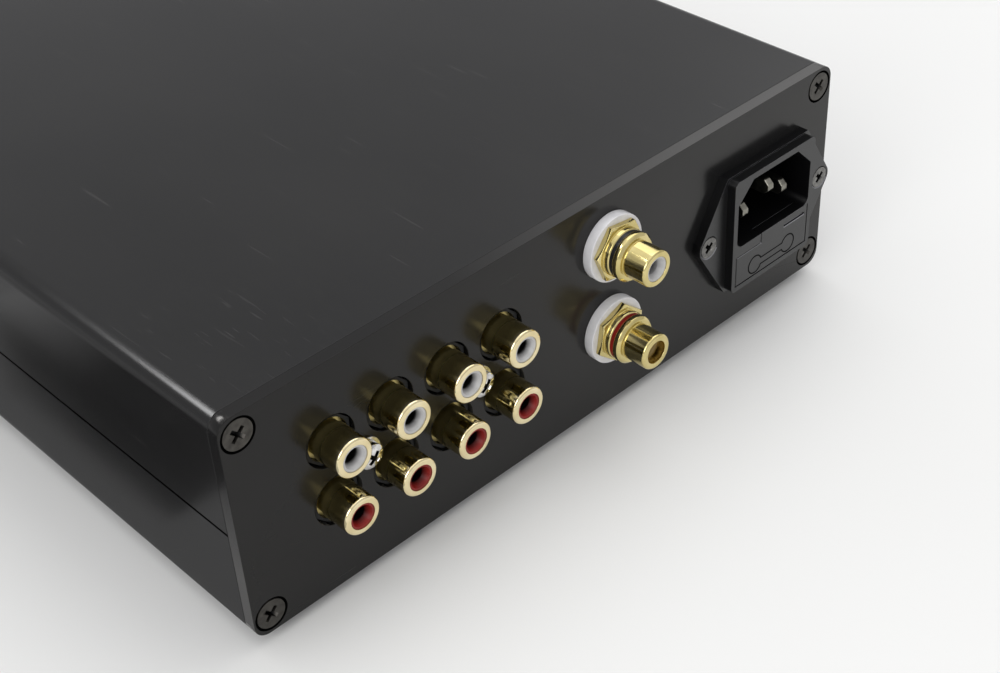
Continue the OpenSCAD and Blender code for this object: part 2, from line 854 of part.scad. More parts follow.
module blade(longer) {
    tip = inlet_face - blade_back + longer;
    taper = 1.2;
    rotate([90, 0, 90]) linear_extrude(blade_t, center = true)
        polygon([[inlet_base, -blade_h / 2], [tip - taper, -blade_h / 2], [tip, taper - blade_h / 2],
            [tip, blade_h / 2 - taper], [tip - taper, blade_h / 2], [inlet_base, blade_h / 2]]);
    block(-tab_t / 2, inlet_base - tab_l, -blade_h / 2, tab_t, tab_l + cut, blade_h);
}

module inlet_pins() {
    color("#cfd0d2") at_inlet() {
        at_live() blade(0);
        at_earth() blade(earth_long);
    }
}

module inlet_screws() {
    color("#202020") at_inlet() for (x = [-1, 1]) translate([x * inlet_pitch / 2, flange_t, 0])
        sunk_screw(flange_t + rear_t, ear_sink, ear_head, ear_rim);
}

module fuse_drawer() {
    color("#27282b") at_inlet() difference() {
        union() {
            slab(inlet_face - drawer_front_t, drawer_front_t) drawer_outline(0);
            slab(inlet_face - drawer_l, drawer_l) translate([0, -drawer_top - drawer_h / 2])
                square([drawer_w, drawer_h], center = true);
        }
        block(drawer_wall - drawer_w / 2, inlet_face - drawer_l + drawer_wall,
            drawer_wall - drawer_top - drawer_h, drawer_w - 2 * drawer_wall,
            drawer_l - drawer_wall - drawer_front_t, drawer_h);
        block(pry_in - drawer_w / 2, inlet_face - pry_deep, pry_rise - drawer_top,
            pry_w, pry_deep + cut, pry_h);
    }
}

module at_fuse() {
    translate([inlet_x, rear_y + inlet_face - drawer_l + drawer_wall + fuse_r + fit,
        inlet_z - drawer_top - drawer_h + drawer_wall + fuse_r]) rotate([0, 90, 0]) children();
}

module fuse_glass() {
    l = fuse_l - 2 * fuse_skin - 2 * fit;
    color("#dfe8ea") at_fuse() difference() {
        cylinder(h = l, r = fuse_r - fuse_skin - fit, center = true);
        cylinder(h = l + 1, r = fuse_r - fuse_skin - fuse_wall, center = true);
    }
}

module fuse_caps() {
    color("#c9c9c6") at_fuse() for (side = [-1, 1]) difference() {
        translate([0, 0, side * (fuse_l - fuse_cap_l) / 2])
            cylinder(h = fuse_cap_l, r = fuse_r, center = true);
        cylinder(h = fuse_l - 2 * fuse_skin, r = fuse_r - fuse_skin, center = true);
    }
}

module input_block_housing() {
    color("#1d1d1e") difference() {
        union() {
            translate([input_x, 0, input_z]) slab(rear_in - block_deep, block_deep)
                square([block_w, block_h], center = true);
            for (p = input_places) at_rear(p.x, p.y) rotate([0, 22.5, 0])
                translate([0, -boss_back, 0]) rotate([90, 0, 0])
                    cylinder(h = rear_t - boss_back + cut, d = boss_flats / cos(22.5), $fn = 8);
        }
        for (p = input_places) at_rear(p.x, p.y) {
            rod(-rear_t, rear_t, collar_r + fit);
            rod(-rear_t - barrel_deep - fit, barrel_deep + cut, barrel_r + fit);
            rod(-rear_t - block_deep - cut, block_deep, pin_r + fit);
        }
        for (p = block_screw_places) at_rear(p.x, p.y)
            rod(-rear_t - barrel_deep, barrel_deep + cut, shank_r + fit);
    }
}

// Drawn tube with a rolled lip, and a collar that seats on the block
module input_barrel(turn) {
    back = -rear_t - barrel_deep;
    neck = barrel_r - barrel_relief;
    difference() {
        turned() {
            polygon([[barrel_bore, back], [barrel_r, back], [barrel_r, -rear_t], [collar_r, -rear_t],
                [collar_r, -collar_back], [neck, -collar_back], [neck, 0], [barrel_r, 0],
                [barrel_r, barrel_out - lip_round], [barrel_r - lip_round, barrel_out],
                [barrel_mouth, barrel_out], [barrel_mouth, barrel_out - lip_l],
                [barrel_bore, barrel_out - lip_l]]);
            translate([barrel_r - lip_round, barrel_out - lip_round]) circle(lip_round);
        }
        rotate([0, -turn, 0]) translate([barrel_r + dimple_r / 2, barrel_out - dimple_back, 0])
            sphere(dimple_r);
    }
}

module input_barrels() {
    color("#c9a13b") for (i = [0:input_cols - 1]) {
        at_rear(white_places[i].x, white_places[i].y) input_barrel(white_dimples[i]);
        at_rear(red_places[i].x, red_places[i].y) input_barrel(red_dimples[i]);
    }
}

// Moulded sleeve with a funnel for the plug's pin and a wider bed for the contact
module insulator(back, face, bore, nose) {
    bed = face - contact_step;
    turned() polygon(concat([[contact_r + fit, back], [bore - fit, back]], nose,
        [[plug_hole_r + lead_w, face], [plug_hole_r, face - lead_l], [plug_hole_r, bed],
        [contact_r + fit, bed]]));
}

// Step of a sleeve that seats behind a socket's lip
function sleeve_nose(out, bore, mouth) =
    let (seat = out - lip_l - fit)
    [[bore - fit, seat], [mouth - fit, seat], [mouth - fit, out - insulator_back]];

module input_insulator() {
    insulator(-rear_t - barrel_deep, barrel_out - insulator_back, barrel_bore,
        sleeve_nose(barrel_out, barrel_bore, barrel_mouth));
}

module white_input_insulators() {
    color("#f2f1ec") for (p = white_places) at_rear(p.x, p.y) input_insulator();
}

module red_input_insulators() {
    color("#b3242a") for (p = red_places) at_rear(p.x, p.y) input_insulator();
}

// Sprung tube, closed behind, on a thin tail
module contact(back, face, tail) {
    inside = contact_r - contact_wall;
    turned() polygon([[0, back - tail], [pin_r, back - tail], [pin_r, back], [contact_r, back],
        [contact_r, face], [inside, face], [inside, back + 1], [0, back + 1]]);
}

module input_contact(drop, tail_out) {
    back = -rear_t - barrel_deep + 0.5;
    tail = block_deep - barrel_deep + 0.5 + tail_out;
    contact(back, barrel_out - insulator_back - contact_step - fit, tail);
    translate([0, back - tail + pin_r, -drop]) cylinder(h = drop, r = pin_r);
}

module input_contacts() {
    pin_end = board_low - 1;
    color("#c4c4c4") {
        for (p = white_places) at_rear(p.x, p.y) input_contact(p.y - pin_end, white_tail);
        for (p = red_places) at_rear(p.x, p.y) input_contact(p.y - pin_end, red_tail);
    }
}

module input_block_screws() {
    color("#d6d6d4") for (p = block_screw_places) at_rear(p.x, p.y) {
        translate([0, washer_t, 0]) pan_screw(washer_t + rear_t + block_screw_in, pan_r, pan_h);
        turned() translate([shank_r + fit, 0]) square([washer_r - shank_r - fit, washer_t - fit]);
    }
}

// Hexagon whose front corners are turned off
module output_hexagon(turn) {
    corner = output_hex / 2 / cos(30) + cut;
    intersection() {
        rotate([0, -turn, 0]) rod6(ring_t, output_hex_l, output_hex);
        turned() polygon([[0, ring_t - cut], [corner, ring_t - cut], [corner, output_hex_y - hex_chamfer],
            [output_hex / 2 + cut, output_hex_y], [0, output_hex_y]]);
    }
}

// Turned body: hexagon, neck, groove for the colour ring, flange, barrel and threaded tail
module output_jack(mouth, mouth_l, turn) {
    back = -rear_t - tail_l;
    bed = output_flange_r - marker_bed;
    difference() {
        union() {
            output_hexagon(turn);
            turned() {
                polygon([[0, back], [tail_r, back], [tail_r, ring_t + cut], [output_flange_r, ring_t + cut],
                    [output_flange_r, output_neck_y - neck_chamfer],
                    [output_flange_r - neck_chamfer, output_neck_y], [bed, output_neck_y],
                    [bed, output_flange_y], [output_flange_r, output_flange_y],
                    [output_flange_r, output_barrel_y - lip_round],
                    [output_flange_r - lip_round, output_barrel_y],
                    [output_barrel_r, output_barrel_y], [output_barrel_r, output_out - lip_round],
                    [output_barrel_r - lip_round, output_out], [0, output_out]]);
                translate([output_barrel_r - lip_round, output_out - lip_round]) circle(lip_round);
            }
        }
        rod(back - cut, output_out - mouth_l - back + cut, output_bore);
        rod(output_out - mouth_l - cut, mouth_l + 2 * cut, mouth);
    }
}

module output_jack_bodies() {
    color("#d2ab45") {
        at_rear(output_places[0].x, output_places[0].y) output_jack(output_mouth, lip_l, upper_turn);
        at_rear(output_places[1].x, output_places[1].y) output_jack(mouth_r, amber_back - fit, lower_turn);
    }
}

module white_output_insulator() {
    color("#f2f1ec") at_rear(output_places[0].x, output_places[0].y)
        insulator(-rear_t - tail_l, output_out - insulator_back, output_bore,
            sleeve_nose(output_out, output_bore, output_mouth));
}

module amber_output_insulator() {
    color("#9a6a22") at_rear(output_places[1].x, output_places[1].y)
        insulator(-rear_t - tail_l, output_out - amber_back, output_bore,
            [[output_bore - fit, output_out - amber_back]]);
}

module marker_ring() {
    bed = output_flange_r - marker_bed + fit;
    turned() translate([bed, output_neck_y]) square([output_flange_r - marker_sink - bed, marker_t]);
}

module black_marker_ring() {
    color("#1a1a1c") at_rear(output_places[0].x, output_places[0].y) marker_ring();
}

module red_marker_ring() {
    color("#b01f24") at_rear(output_places[1].x, output_places[1].y) marker_ring();
}

// Flat washer outside, shouldered washer inside the panel
module output_washers() {
    inside = tail_r + fit;
    shoulder = tail_r + ring_sleeve;
    color("#f1f1f1") for (p = output_places) at_rear(p.x, p.y) {
        turned() translate([inside, 0]) square([ring_r - inside, ring_t]);
        turned() polygon([[inside, -fit], [shoulder, -fit], [shoulder, -rear_t], [ring_r - 1, -rear_t],
            [ring_r - 1, -rear_t - ring_t], [inside, -rear_t - ring_t]]);
    }
}

module output_solder_tags() {
    y = -rear_t - ring_t - solder_tag_t;
    color("#d5d5d0") for (p = output_places) at_rear(p.x, p.y) difference() {
        slab(y, solder_tag_t) {
            circle(tag_r);
            translate([0, -tag_w / 2]) square([tag_reach, tag_w]);
        }
        rod(y - cut, solder_tag_t + 2 * cut, tail_r + fit);
        translate([tag_reach - tag_w / 2, 0, 0]) rod(y - cut, solder_tag_t + 2 * cut, tag_hole_r);
    }
}

module output_nuts() {
    color("#d2ab45") for (p = output_places) at_rear(p.x, p.y)
        hex_nut(-rear_t - ring_t - solder_tag_t - output_nut_t, output_nut_t, output_nut, tail_r + fit);
}

module output_contacts() {
    back = 0.5 - rear_t - tail_l;
    color("#d8bd6a") {
        at_rear(output_places[0].x, output_places[0].y)
            contact(back, output_out - insulator_back - contact_step - fit, contact_tail);
        at_rear(output_places[1].x, output_places[1].y)
            contact(back, output_out - amber_back - contact_step - fit, contact_tail);
    }
}

module main_board() {
    color("#1f5a35") difference() {
        block(input_x - main_w / 2, main_y, board_low, main_w, main_l, board_t);
        at_board_holes() translate([0, 0, board_low - cut]) cylinder(h = board_t + 2 * cut, r = clear_r);
        for (p = white_places) translate([p.x, rear_in - block_deep - white_tail + pin_r, board_low - cut])
            cylinder(h = board_t + 2 * cut, r = pin_r + fit);
        for (p = red_places) translate([p.x, rear_in - block_deep - red_tail + pin_r, board_low - cut])
            cylinder(h = board_t + 2 * cut, r = pin_r + fit);
    }
}

module input_relays() {
    color("#e7e7e2") for (p = white_places)
        block(p.x - relay_w / 2, main_y + relay_at, board_top, relay_w, relay_l, relay_h);
}

module coupling_capacitors() {
    color("#a8302a") for (p = white_places)
        block(p.x - film_w / 2, main_y + film_at, board_top, film_w, film_l, film_h);
}

// Eight-legged chip in the usual two rows
module chip() {
    block(-chip_w / 2, -chip_l / 2, chip_lift, chip_w, chip_l, chip_h);
    for (x = [-1, 1], i = [-1.5:1.5]) translate([x * chip_rows / 2, i * chip_pitch, 0]) {
        translate([0, 0, chip_knee / 2]) cube([leg_t, leg_w, chip_knee], center = true);
        translate([-x * chip_rows / 4, 0, chip_knee - leg_t / 2])
            cube([chip_rows / 2 + leg_t, 2 * leg_w, leg_t], center = true);
    }
}

module signal_chips() {
    color("#202022") for (x = [-1, 1])
        translate([input_x + x * input_pitch_x, main_y + chip_at, board_top]) chip();
}

module power_board() {
    color("#1f5a35") difference() {
        block(supply_x - supply_w / 2, supply_y, board_low, supply_w, supply_l, board_t);
        at_board_holes() translate([0, 0, board_low - cut]) cylinder(h = board_t + 2 * cut, r = clear_r);
    }
}

module filter_capacitors() {
    pitch = 2 * filter_r + filter_space;
    color("#23324f") for (x = [-1, 1], y = [0, 1])
        translate([supply_x + x * (pitch / 2 + 1), supply_y + supply_spare + filter_r + y * pitch, board_top])
            rotate_extrude() polygon([[0, 0], [filter_r, 0], [filter_r, crimp_z - crimp],
                [filter_r - crimp, crimp_z], [filter_r, crimp_z + crimp], [filter_r, filter_h - 1],
                [filter_r - 1, filter_h], [filter_r - 2, filter_h - crimp], [0, filter_h - crimp]]);
}

module bridge_rectifier() {
    color("#1c1c1e") translate([supply_x - supply_w / 2 + bridge_in, supply_y + bridge_at, board_top]) {
        rotate([90, 0, 90]) linear_extrude(bridge_t) polygon([[0, 1], [bridge_l, 1],
            [bridge_l, bridge_h - bridge_key], [bridge_l - bridge_key, bridge_h], [0, bridge_h]]);
        for (i = [0:3]) block(bridge_t / 2 - 0.5, 2 + bridge_pitch * i, 0, 1, 1, 1 + cut);
    }
}

module at_heatsinks() {
    for (x = [-1, 1]) translate([supply_x + x * heat_x, supply_y + heat_at, board_top]) children();
}

module heatsinks() {
    color("#2b2b2d") at_heatsinks() linear_extrude(heat_h) {
        translate([-heat_w / 2, 0]) square([heat_w, heat_base_t]);
        for (i = [0:heat_fins - 1])
            translate([-heat_w / 2 + i * (heat_w - heat_fin_t) / (heat_fins - 1), 0])
                square([heat_fin_t, heat_deep]);
    }
}

module regulators() {
    color("#39393b") at_heatsinks() {
        block(-tab_w / 2, -tab_back, leg_up, tab_w, tab_back, tab_up);
        block(-tab_w / 2, -tab_back - mould_t, leg_up, tab_w, mould_t + cut, mould_h);
        for (i = [-1:1])
            block(i * chip_pitch - leg_w, -tab_back - mould_t / 2, 0, 2 * leg_w, leg_w, leg_up + cut);
    }
}

module board_standoffs() {
    color("#c7a34c") at_board_holes() translate([0, 0, floor_z]) difference() {
        cylinder(h = standoff_h, d = standoff_flats / cos(30), $fn = 6);
        translate([0, 0, -cut]) cylinder(h = standoff_h + 2 * cut, r = shank_r + fit);
    }
}

module at_front_board_holes() {
    for (p = front_board_places) translate([p.x, 0, p.y]) children();
}

module board_screws() {
    color("#c9c9c9") {
        at_board_holes() translate([0, 0, board_top]) rotate([90, 0, 0])
            pan_screw(board_t + board_screw_l, board_pan_r, board_pan_h);
        at_board_holes() translate([0, 0, foot_h]) rotate([-90, 0, 0])
            pan_screw(wall + board_screw_l, board_pan_r, board_pan_h);
        at_front_board_holes() translate([0, front_y + board_at + board_t, 0])
            pan_screw(board_t + board_at - web_t - 1, board_pan_r, board_pan_h);
    }
}

module at_toroid(z) { translate([toroid_x, toroid_y, z]) children(); }

module transformer() {
    ring = (toroid_d - toroid_hole) / 2;
    color("#c9a75a") at_toroid(toroid_low + toroid_h / 2) rotate_extrude()
        translate([(toroid_d + toroid_hole) / 4, 0]) round_rect(ring, toroid_h, toroid_r);
}

module transformer_pads() {
    color("#1b1b1b") for (z = [floor_z, toroid_low + toroid_h]) at_toroid(z) rotate_extrude()
        translate([toroid_hole / 2, 0]) square([dish_r - toroid_hole / 2 + 2, pad_t]);
}

// Pressed plate whose middle sinks into the transformer's hole
module transformer_dish() {
    hole = bolt_r + fit;
    rim = toroid_hole / 2 - 0.5;
    color("#b9bbbd") at_toroid(toroid_top) rotate_extrude()
        polygon([[hole, -dish_well], [rim - 2.5, -dish_well], [rim, 0], [dish_r, 0], [dish_r, dish_t],
            [rim - 0.5, dish_t], [rim - 3, dish_t - dish_well], [hole, dish_t - dish_well]]);
}

module transformer_bolt() {
    seat = toroid_top - dish_well + dish_t;
    color("#c2c2c2") {
        at_toroid(0) {
            translate([0, 0, foot_h - board_pan_h]) cylinder(h = board_pan_h, r = 2 * bolt_r);
            translate([0, 0, foot_h - cut]) cylinder(h = seat + bolt_nut_t + 2 - foot_h + cut, r = bolt_r);
        }
        at_toroid(seat) difference() {
            cylinder(h = bolt_nut_t, r = 2 * bolt_r / cos(30) * 0.8, $fn = 6);
            translate([0, 0, -cut]) cylinder(h = bolt_nut_t + 2 * cut, r = bolt_r + fit);
        }
    }
}

module front_board() {
    color("#1f5a35") slab(front_y + board_at, board_t) difference() {
        translate([front_board_x, mid_z]) square([front_board_w, front_board_h], center = true);
        translate([button_x, mid_z]) circle(stem_r + button_gap);
        for (p = front_board_places) translate(p) circle(shank_r + fit);
    }
}

module front_spacers() {
    color("#c7a34c") at_front_board_holes() translate([0, front_in, 0]) turned()
        translate([shank_r + fit, 0]) square([1.1, board_at - front_t]);
}

// Turned knob with a hollow back, a dished face and a pointer line
module knob(d, l) {
    r = d / 2;
    face = -knob_gap - l;
    difference() {
        turned() {
            translate([0, face + knob_r]) square([r, l - knob_r]);
            translate([0, face]) square([r - knob_r, l]);
            translate([r - knob_r, face + knob_r]) circle(knob_r);
        }
        rod(face - cut, cut + 0.5, r - 3);
        rod(-knob_gap - knob_hollow, knob_hollow + cut, hollow_r);
        rod(face + shaft_back - 0.2, l - shaft_back, spindle_r + fit);
        turned() translate([r - 0.5, -knob_gap - l / 4]) square([1, 0.8]);
        block(-0.6, face - cut, r * 0.35, 1.2, 1.2, r);
    }
}

module set_screw_place(l) { translate([0, -knob_gap - (knob_hollow + l - shaft_back) / 2, 0]) children(); }

module volume_knob() {
    color("#2b2c2e") at_front(volume_x, mid_z) difference() {
        knob(volume_d, volume_l);
        set_screw_place(volume_l) translate([0, 0, -volume_d]) cylinder(h = volume_d, r = set_screw_r + fit);
    }
}

module volume_set_screw() {
    color("#1c1c1c") at_front(volume_x, mid_z) set_screw_place(volume_l)
        translate([0, 0, -spindle_r - fit - set_screw_l]) difference() {
            cylinder(h = set_screw_l, r = set_screw_r);
            translate([0, 0, -cut]) cylinder(h = 2, r = 0.85, $fn = 6);
        }
}

module spindle(l, back) {
    color("#bfc0c2") rod(shaft_back - knob_gap - l, knob_gap + l - shaft_back + back, spindle_r);
}

module volume_shaft() { at_front(volume_x, mid_z) spindle(volume_l, front_t + 5.5); }

module bushing() { rod(-bushing_out, bushing_out + web_t + cut, bushing_r); }

module volume_pot() {
    color("#8f9092") at_front(volume_x, mid_z) {
        difference() {
            union() {
                bushing();
                rod(web_t, pocket_deep + cut, pot_boss_r);
                slab(front_t, pot_l) square(pot_side, center = true);
            }
            rod(-bushing_out - cut, bushing_out + front_t + 6 + cut, spindle_r + fit);
            slab(front_t + pot_l / 2, 1) difference() {
                square(pot_side + 1, center = true);
                square(pot_side - 2, center = true);
            }
        }
        slab(front_t + pot_l + fit, gear_l - fit) square(pot_side, center = true);
    }
}

module volume_motor() {
    color("#a9abad") at_front(volume_x, mid_z) {
        rod(front_t + pot_l + gear_l, motor_l, motor_r);
        rod(front_t + pot_l + gear_l + motor_l - cut, 1.5 + cut, motor_r / 3);
        for (x = [-1, 1]) slab(front_t + pot_l + gear_l + motor_l - cut, 3 + cut)
            translate([x * motor_r * 0.6, 0]) square([0.5, 2], center = true);
    }
}

module bushing_nuts() {
    color("#b9babc") for (x = [volume_x, source_x]) at_front(x, mid_z)
        hex_nut(-bushing_nut_t, bushing_nut_t, bushing_nut, bushing_r + fit);
}

module source_knob() { color("#2b2c2e") at_front(source_x, mid_z) knob(source_d, source_l); }

module source_shaft() { at_front(source_x, mid_z) spindle(source_l, board_at - 1.3); }

module source_encoder() {
    color("#3c6b4a") at_front(source_x, mid_z) difference() {
        union() {
            bushing();
            slab(web_t, encoder_l) square(encoder_side, center = true);
        }
        rod(-bushing_out - cut, bushing_out + board_at - 1 + cut, spindle_r + fit);
    }
}

module power_button() {
    edge = 0.8;
    color("#c8c9cb") at_front(button_x, mid_z) turned()
        polygon([[0, -button_out], [button_r - edge, -button_out], [button_r, edge - button_out],
            [button_r, web_t], [button_r + button_lip, web_t], [button_r + button_lip, web_t + lip_t],
            [stem_r, web_t + lip_t], [stem_r, stem_end], [0, stem_end]]);
}

module power_switch() {
    color("#2a2a2c") at_front(button_x, mid_z) difference() {
        slab(board_at + board_t, switch_l) square(switch_side, center = true);
        rod(board_at + board_t - cut, stem_in + button_travel + 0.5 + cut, stem_r + fit);
    }
}

module ir_window() {
    color("#3a1014") at_front(window_x, mid_z) {
        slab(-0.2, web_t + 0.2 + cut) round_rect(window_w, window_h, window_r);
        slab(web_t, lip_t) square([window_w + 2 * window_lip, window_h + 2 * window_lip], center = true);
    }
}

module ir_receiver() {
    at = web_t + lip_t + lens_r;
    color("#1b1b1e") at_front(window_x, mid_z) {
        slab(at, board_at - at) square([receiver_w, receiver_h], center = true);
        translate([0, at, 0]) cylinder(h = lens_l, r = lens_r, center = true);
    }
}

module at_lights() {
    for (i = [0:light_count - 1])
        translate([source_x + (i - (light_count - 1) / 2) * light_pitch, light_z]) children();
}

module indicator_leds() {
    tip = 0.5;
    color("#7fd0ff") for (i = [0:light_count - 1])
        at_front(source_x + (i - (light_count - 1) / 2) * light_pitch, light_z) turned()
            polygon([[0, -tip], [light_r - tip, -tip], [light_r, 0], [light_r, board_at], [0, board_at]]);
}

// Two leads from the inlet's tabs down to the supply board
module mains_leads() {
    start = rear_y + inlet_base - tab_l;
    drop_y = supply_y + supply_l - lead_back;
    lead_z = inlet_z + blade_z;
    color("#7a4a22") for (x = [-1, 1]) translate([inlet_x + x * blade_pitch / 2, 0, 0]) {
        translate([0, 0, lead_z]) rod(drop_y, start - drop_y, lead_r);
        translate([0, drop_y, lead_z]) sphere(lead_r);
        translate([0, drop_y, board_top]) cylinder(h = lead_z - board_top, r = lead_r);
    }
}

upper_shell();
lower_shell();
front_panel();
rear_panel();
front_panel_screws();
rear_panel_screws();
feet();
inlet_housing();
inlet_pins();
inlet_screws();
fuse_drawer();
fuse_glass();
fuse_caps();
input_block_housing();
input_barrels();
white_input_insulators();
red_input_insulators();
input_contacts();
input_block_screws();
output_jack_bodies();
white_output_insulator();
amber_output_insulator();
black_marker_ring();
red_marker_ring();
output_washers();
output_solder_tags();
output_nuts();
output_contacts();
main_board();
input_relays();
coupling_capacitors();
signal_chips();
power_board();
filter_capacitors();
bridge_rectifier();
regulators();
heatsinks();
board_standoffs();
board_screws();
transformer();
transformer_pads();
transformer_dish();
transformer_bolt();
front_board();
front_spacers();
volume_knob();
volume_set_screw();
volume_shaft();
volume_pot();
volume_motor();
bushing_nuts();
source_knob();
source_shaft();
source_encoder();
power_button();
power_switch();
ir_window();
ir_receiver();
indicator_leds();
mains_leads();
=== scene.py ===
import math

import bpy
from mathutils import Matrix, Vector


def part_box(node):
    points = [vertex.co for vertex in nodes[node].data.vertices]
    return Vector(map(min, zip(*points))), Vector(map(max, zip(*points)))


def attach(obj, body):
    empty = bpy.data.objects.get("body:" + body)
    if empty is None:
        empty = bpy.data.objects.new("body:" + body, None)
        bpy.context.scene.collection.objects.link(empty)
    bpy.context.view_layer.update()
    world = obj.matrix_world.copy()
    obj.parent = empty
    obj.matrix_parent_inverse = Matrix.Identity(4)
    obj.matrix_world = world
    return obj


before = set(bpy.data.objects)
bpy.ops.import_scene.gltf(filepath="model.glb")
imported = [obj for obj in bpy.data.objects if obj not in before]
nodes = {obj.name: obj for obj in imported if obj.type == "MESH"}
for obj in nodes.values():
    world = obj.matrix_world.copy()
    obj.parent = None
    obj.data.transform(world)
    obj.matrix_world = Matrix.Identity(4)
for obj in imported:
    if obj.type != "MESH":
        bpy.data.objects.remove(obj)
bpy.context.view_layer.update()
scene = bpy.context.scene
scene.view_settings.view_transform = "Standard"
mm = 0.001
print("frame loaded with", len(nodes), "nodes")

# camera at the photograph's viewpoint
viewpoint = {
    "lens": 60.383,
    "sensor": 36.0,
    "place": (0.199405, 0.313617, 0.245638),
    "right": (-0.719064, 0.693341, -0.047174),
    "up": (-0.449540, -0.412303, 0.792414),
}


def placeCamera(setup):
    right = Vector(setup["right"])
    up = Vector(setup["up"])
    turn = Matrix((right, up, right.cross(up))).transposed()
    lens = bpy.data.cameras.new("viewCamera")
    lens.lens = setup["lens"]
    lens.sensor_fit = "HORIZONTAL"
    lens.sensor_width = setup["sensor"]
    camera = bpy.data.objects.new("viewCamera", lens)
    camera.matrix_world = Matrix.Translation(setup["place"]) @ turn.to_4x4()
    scene.collection.objects.link(camera)
    scene.camera = camera


placeCamera(viewpoint)
print("camera placed")


# small helpers for shader trees
acrossY = (1.0, 0.0, 1.0)  # keeps what lies across the Y axis
toneSpread = (0.3, 0.7)  # where a noise turns from its dark to its light tone
mixFirst, mixSecond, mixResult = 6, 7, 2  # colour sockets of a Mix node
noiseDetail = {"patch": 3.0, "grain": 2.0, "cloud": 4.0, "lines": 3.0, "marks": 1.0}
plainIor = 1.5  # of common plastics


def shaderOf(material):
    tree = material.node_tree
    return tree, tree.nodes["Principled BSDF"]


def newMaterial(name):
    material = bpy.data.materials.new(name)
    material.use_nodes = True
    return (material, *shaderOf(material))


def addNode(tree, kind, inputs=None, **settings):
    node = tree.nodes.new("ShaderNode" + kind)
    for key, value in settings.items():
        setattr(node, key, value)
    for key, value in (inputs or {}).items():
        node.inputs[key].default_value = value
    return node


# links one socket to another, or sets a plain value on it
def feed(tree, value, target):
    if isinstance(value, bpy.types.NodeSocket):
        tree.links.new(value, target)
    else:
        target.default_value = value


def calc(tree, operation, first, second=0.0):
    node = addNode(tree, "Math", operation=operation)
    feed(tree, first, node.inputs[0])
    feed(tree, second, node.inputs[1])
    return node.outputs["Value"]


def vectorCalc(tree, operation, first, second=(0.0, 0.0, 0.0)):
    node = addNode(tree, "VectorMath", operation=operation)
    feed(tree, first, node.inputs[0])
    feed(tree, second, node.inputs[1])
    return node.outputs["Value" if operation in ("LENGTH", "DISTANCE") else "Vector"]


def remap(tree, value, fromMin, fromMax, toMin=0.0, toMax=1.0):
    span = {"From Min": fromMin, "From Max": fromMax, "To Min": toMin, "To Max": toMax}
    node = addNode(tree, "MapRange", span)
    feed(tree, value, node.inputs["Value"])
    return node.outputs["Result"]


def mixTone(tree, share, first, second):
    mix = addNode(tree, "Mix", data_type="RGBA")
    feed(tree, share, mix.inputs[0])
    for index, tone in ((mixFirst, first), (mixSecond, second)):
        feed(tree, (*tone, 1.0) if isinstance(tone, tuple) else tone, mix.inputs[index])
    return mix.outputs[mixResult]


def placeOf(tree, kind="Object"):
    return addNode(tree, "TexCoord").outputs[kind]


def axesOf(tree, vector):
    split = addNode(tree, "SeparateXYZ")
    feed(tree, vector, split.inputs["Vector"])
    return split.outputs


def facingOf(tree):
    return axesOf(tree, addNode(tree, "NewGeometry").outputs["True Normal"])


def noiseAt(tree, stretch, detail):
    spread = addNode(tree, "Mapping", {"Scale": stretch})
    feed(tree, placeOf(tree), spread.inputs["Vector"])
    noise = addNode(tree, "TexNoise", {"Scale": 1.0, "Detail": noiseDetail[detail]})
    feed(tree, spread.outputs["Vector"], noise.inputs["Vector"])
    return noise.outputs["Fac"]


def tinted(tree, value, dark, light, places=toneSpread):
    ramp = addNode(tree, "ValToRGB")
    for stop, place, tone in zip(ramp.color_ramp.elements, places, (dark, light)):
        stop.position = place
        stop.color = (*tone, 1.0)
    feed(tree, value, ramp.inputs["Fac"])
    return ramp.outputs["Color"]


def baseTone(bsdf):
    return bsdf.inputs["Base Color"].links[0].from_socket


# a grain in the gloss and a fine relief
def addGrain(tree, bsdf, grain, look):
    feed(tree, remap(tree, grain, 0.0, 1.0, *look["rough"]), bsdf.inputs["Roughness"])
    bump = addNode(tree, "Bump", {"Strength": look["relief"], "Distance": look["depth"] * mm})
    feed(tree, grain, bump.inputs["Height"])
    feed(tree, bump.outputs["Normal"], bsdf.inputs["Normal"])


# one finish: patches of colour and a grain
def finishOf(name, look):
    material, tree, bsdf = newMaterial(name)
    patch = noiseAt(tree, look["patch"], "patch")
    feed(tree, tinted(tree, patch, look["dark"], look["light"]), bsdf.inputs["Base Color"])
    addGrain(tree, bsdf, noiseAt(tree, look["grain"], "grain"), look)
    bsdf.inputs["Metallic"].default_value = look.get("metal", 0.0)
    bsdf.inputs["IOR"].default_value = look.get("ior", plainIor)
    bsdf.inputs["Coat Weight"].default_value = look.get("coat", 0.0)
    bsdf.inputs["Transmission Weight"].default_value = look.get("clear", 0.0)
    return material


# distance from the nearest axis of a set of screws, folded about the middle of the set
def axisRadius(tree, screws, outer):
    low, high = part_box(screws)
    middle = (low + high) / 2
    reach = (high - low) / 2 - Vector(acrossY) * outer * mm
    away = vectorCalc(tree, "SUBTRACT", placeOf(tree), (middle.x, 0.0, middle.z))
    folded = vectorCalc(tree, "ABSOLUTE", away)
    centred = vectorCalc(tree, "SUBTRACT", folded, (reach.x, 0.0, reach.z))
    return vectorCalc(tree, "LENGTH", vectorCalc(tree, "MULTIPLY", centred, acrossY))


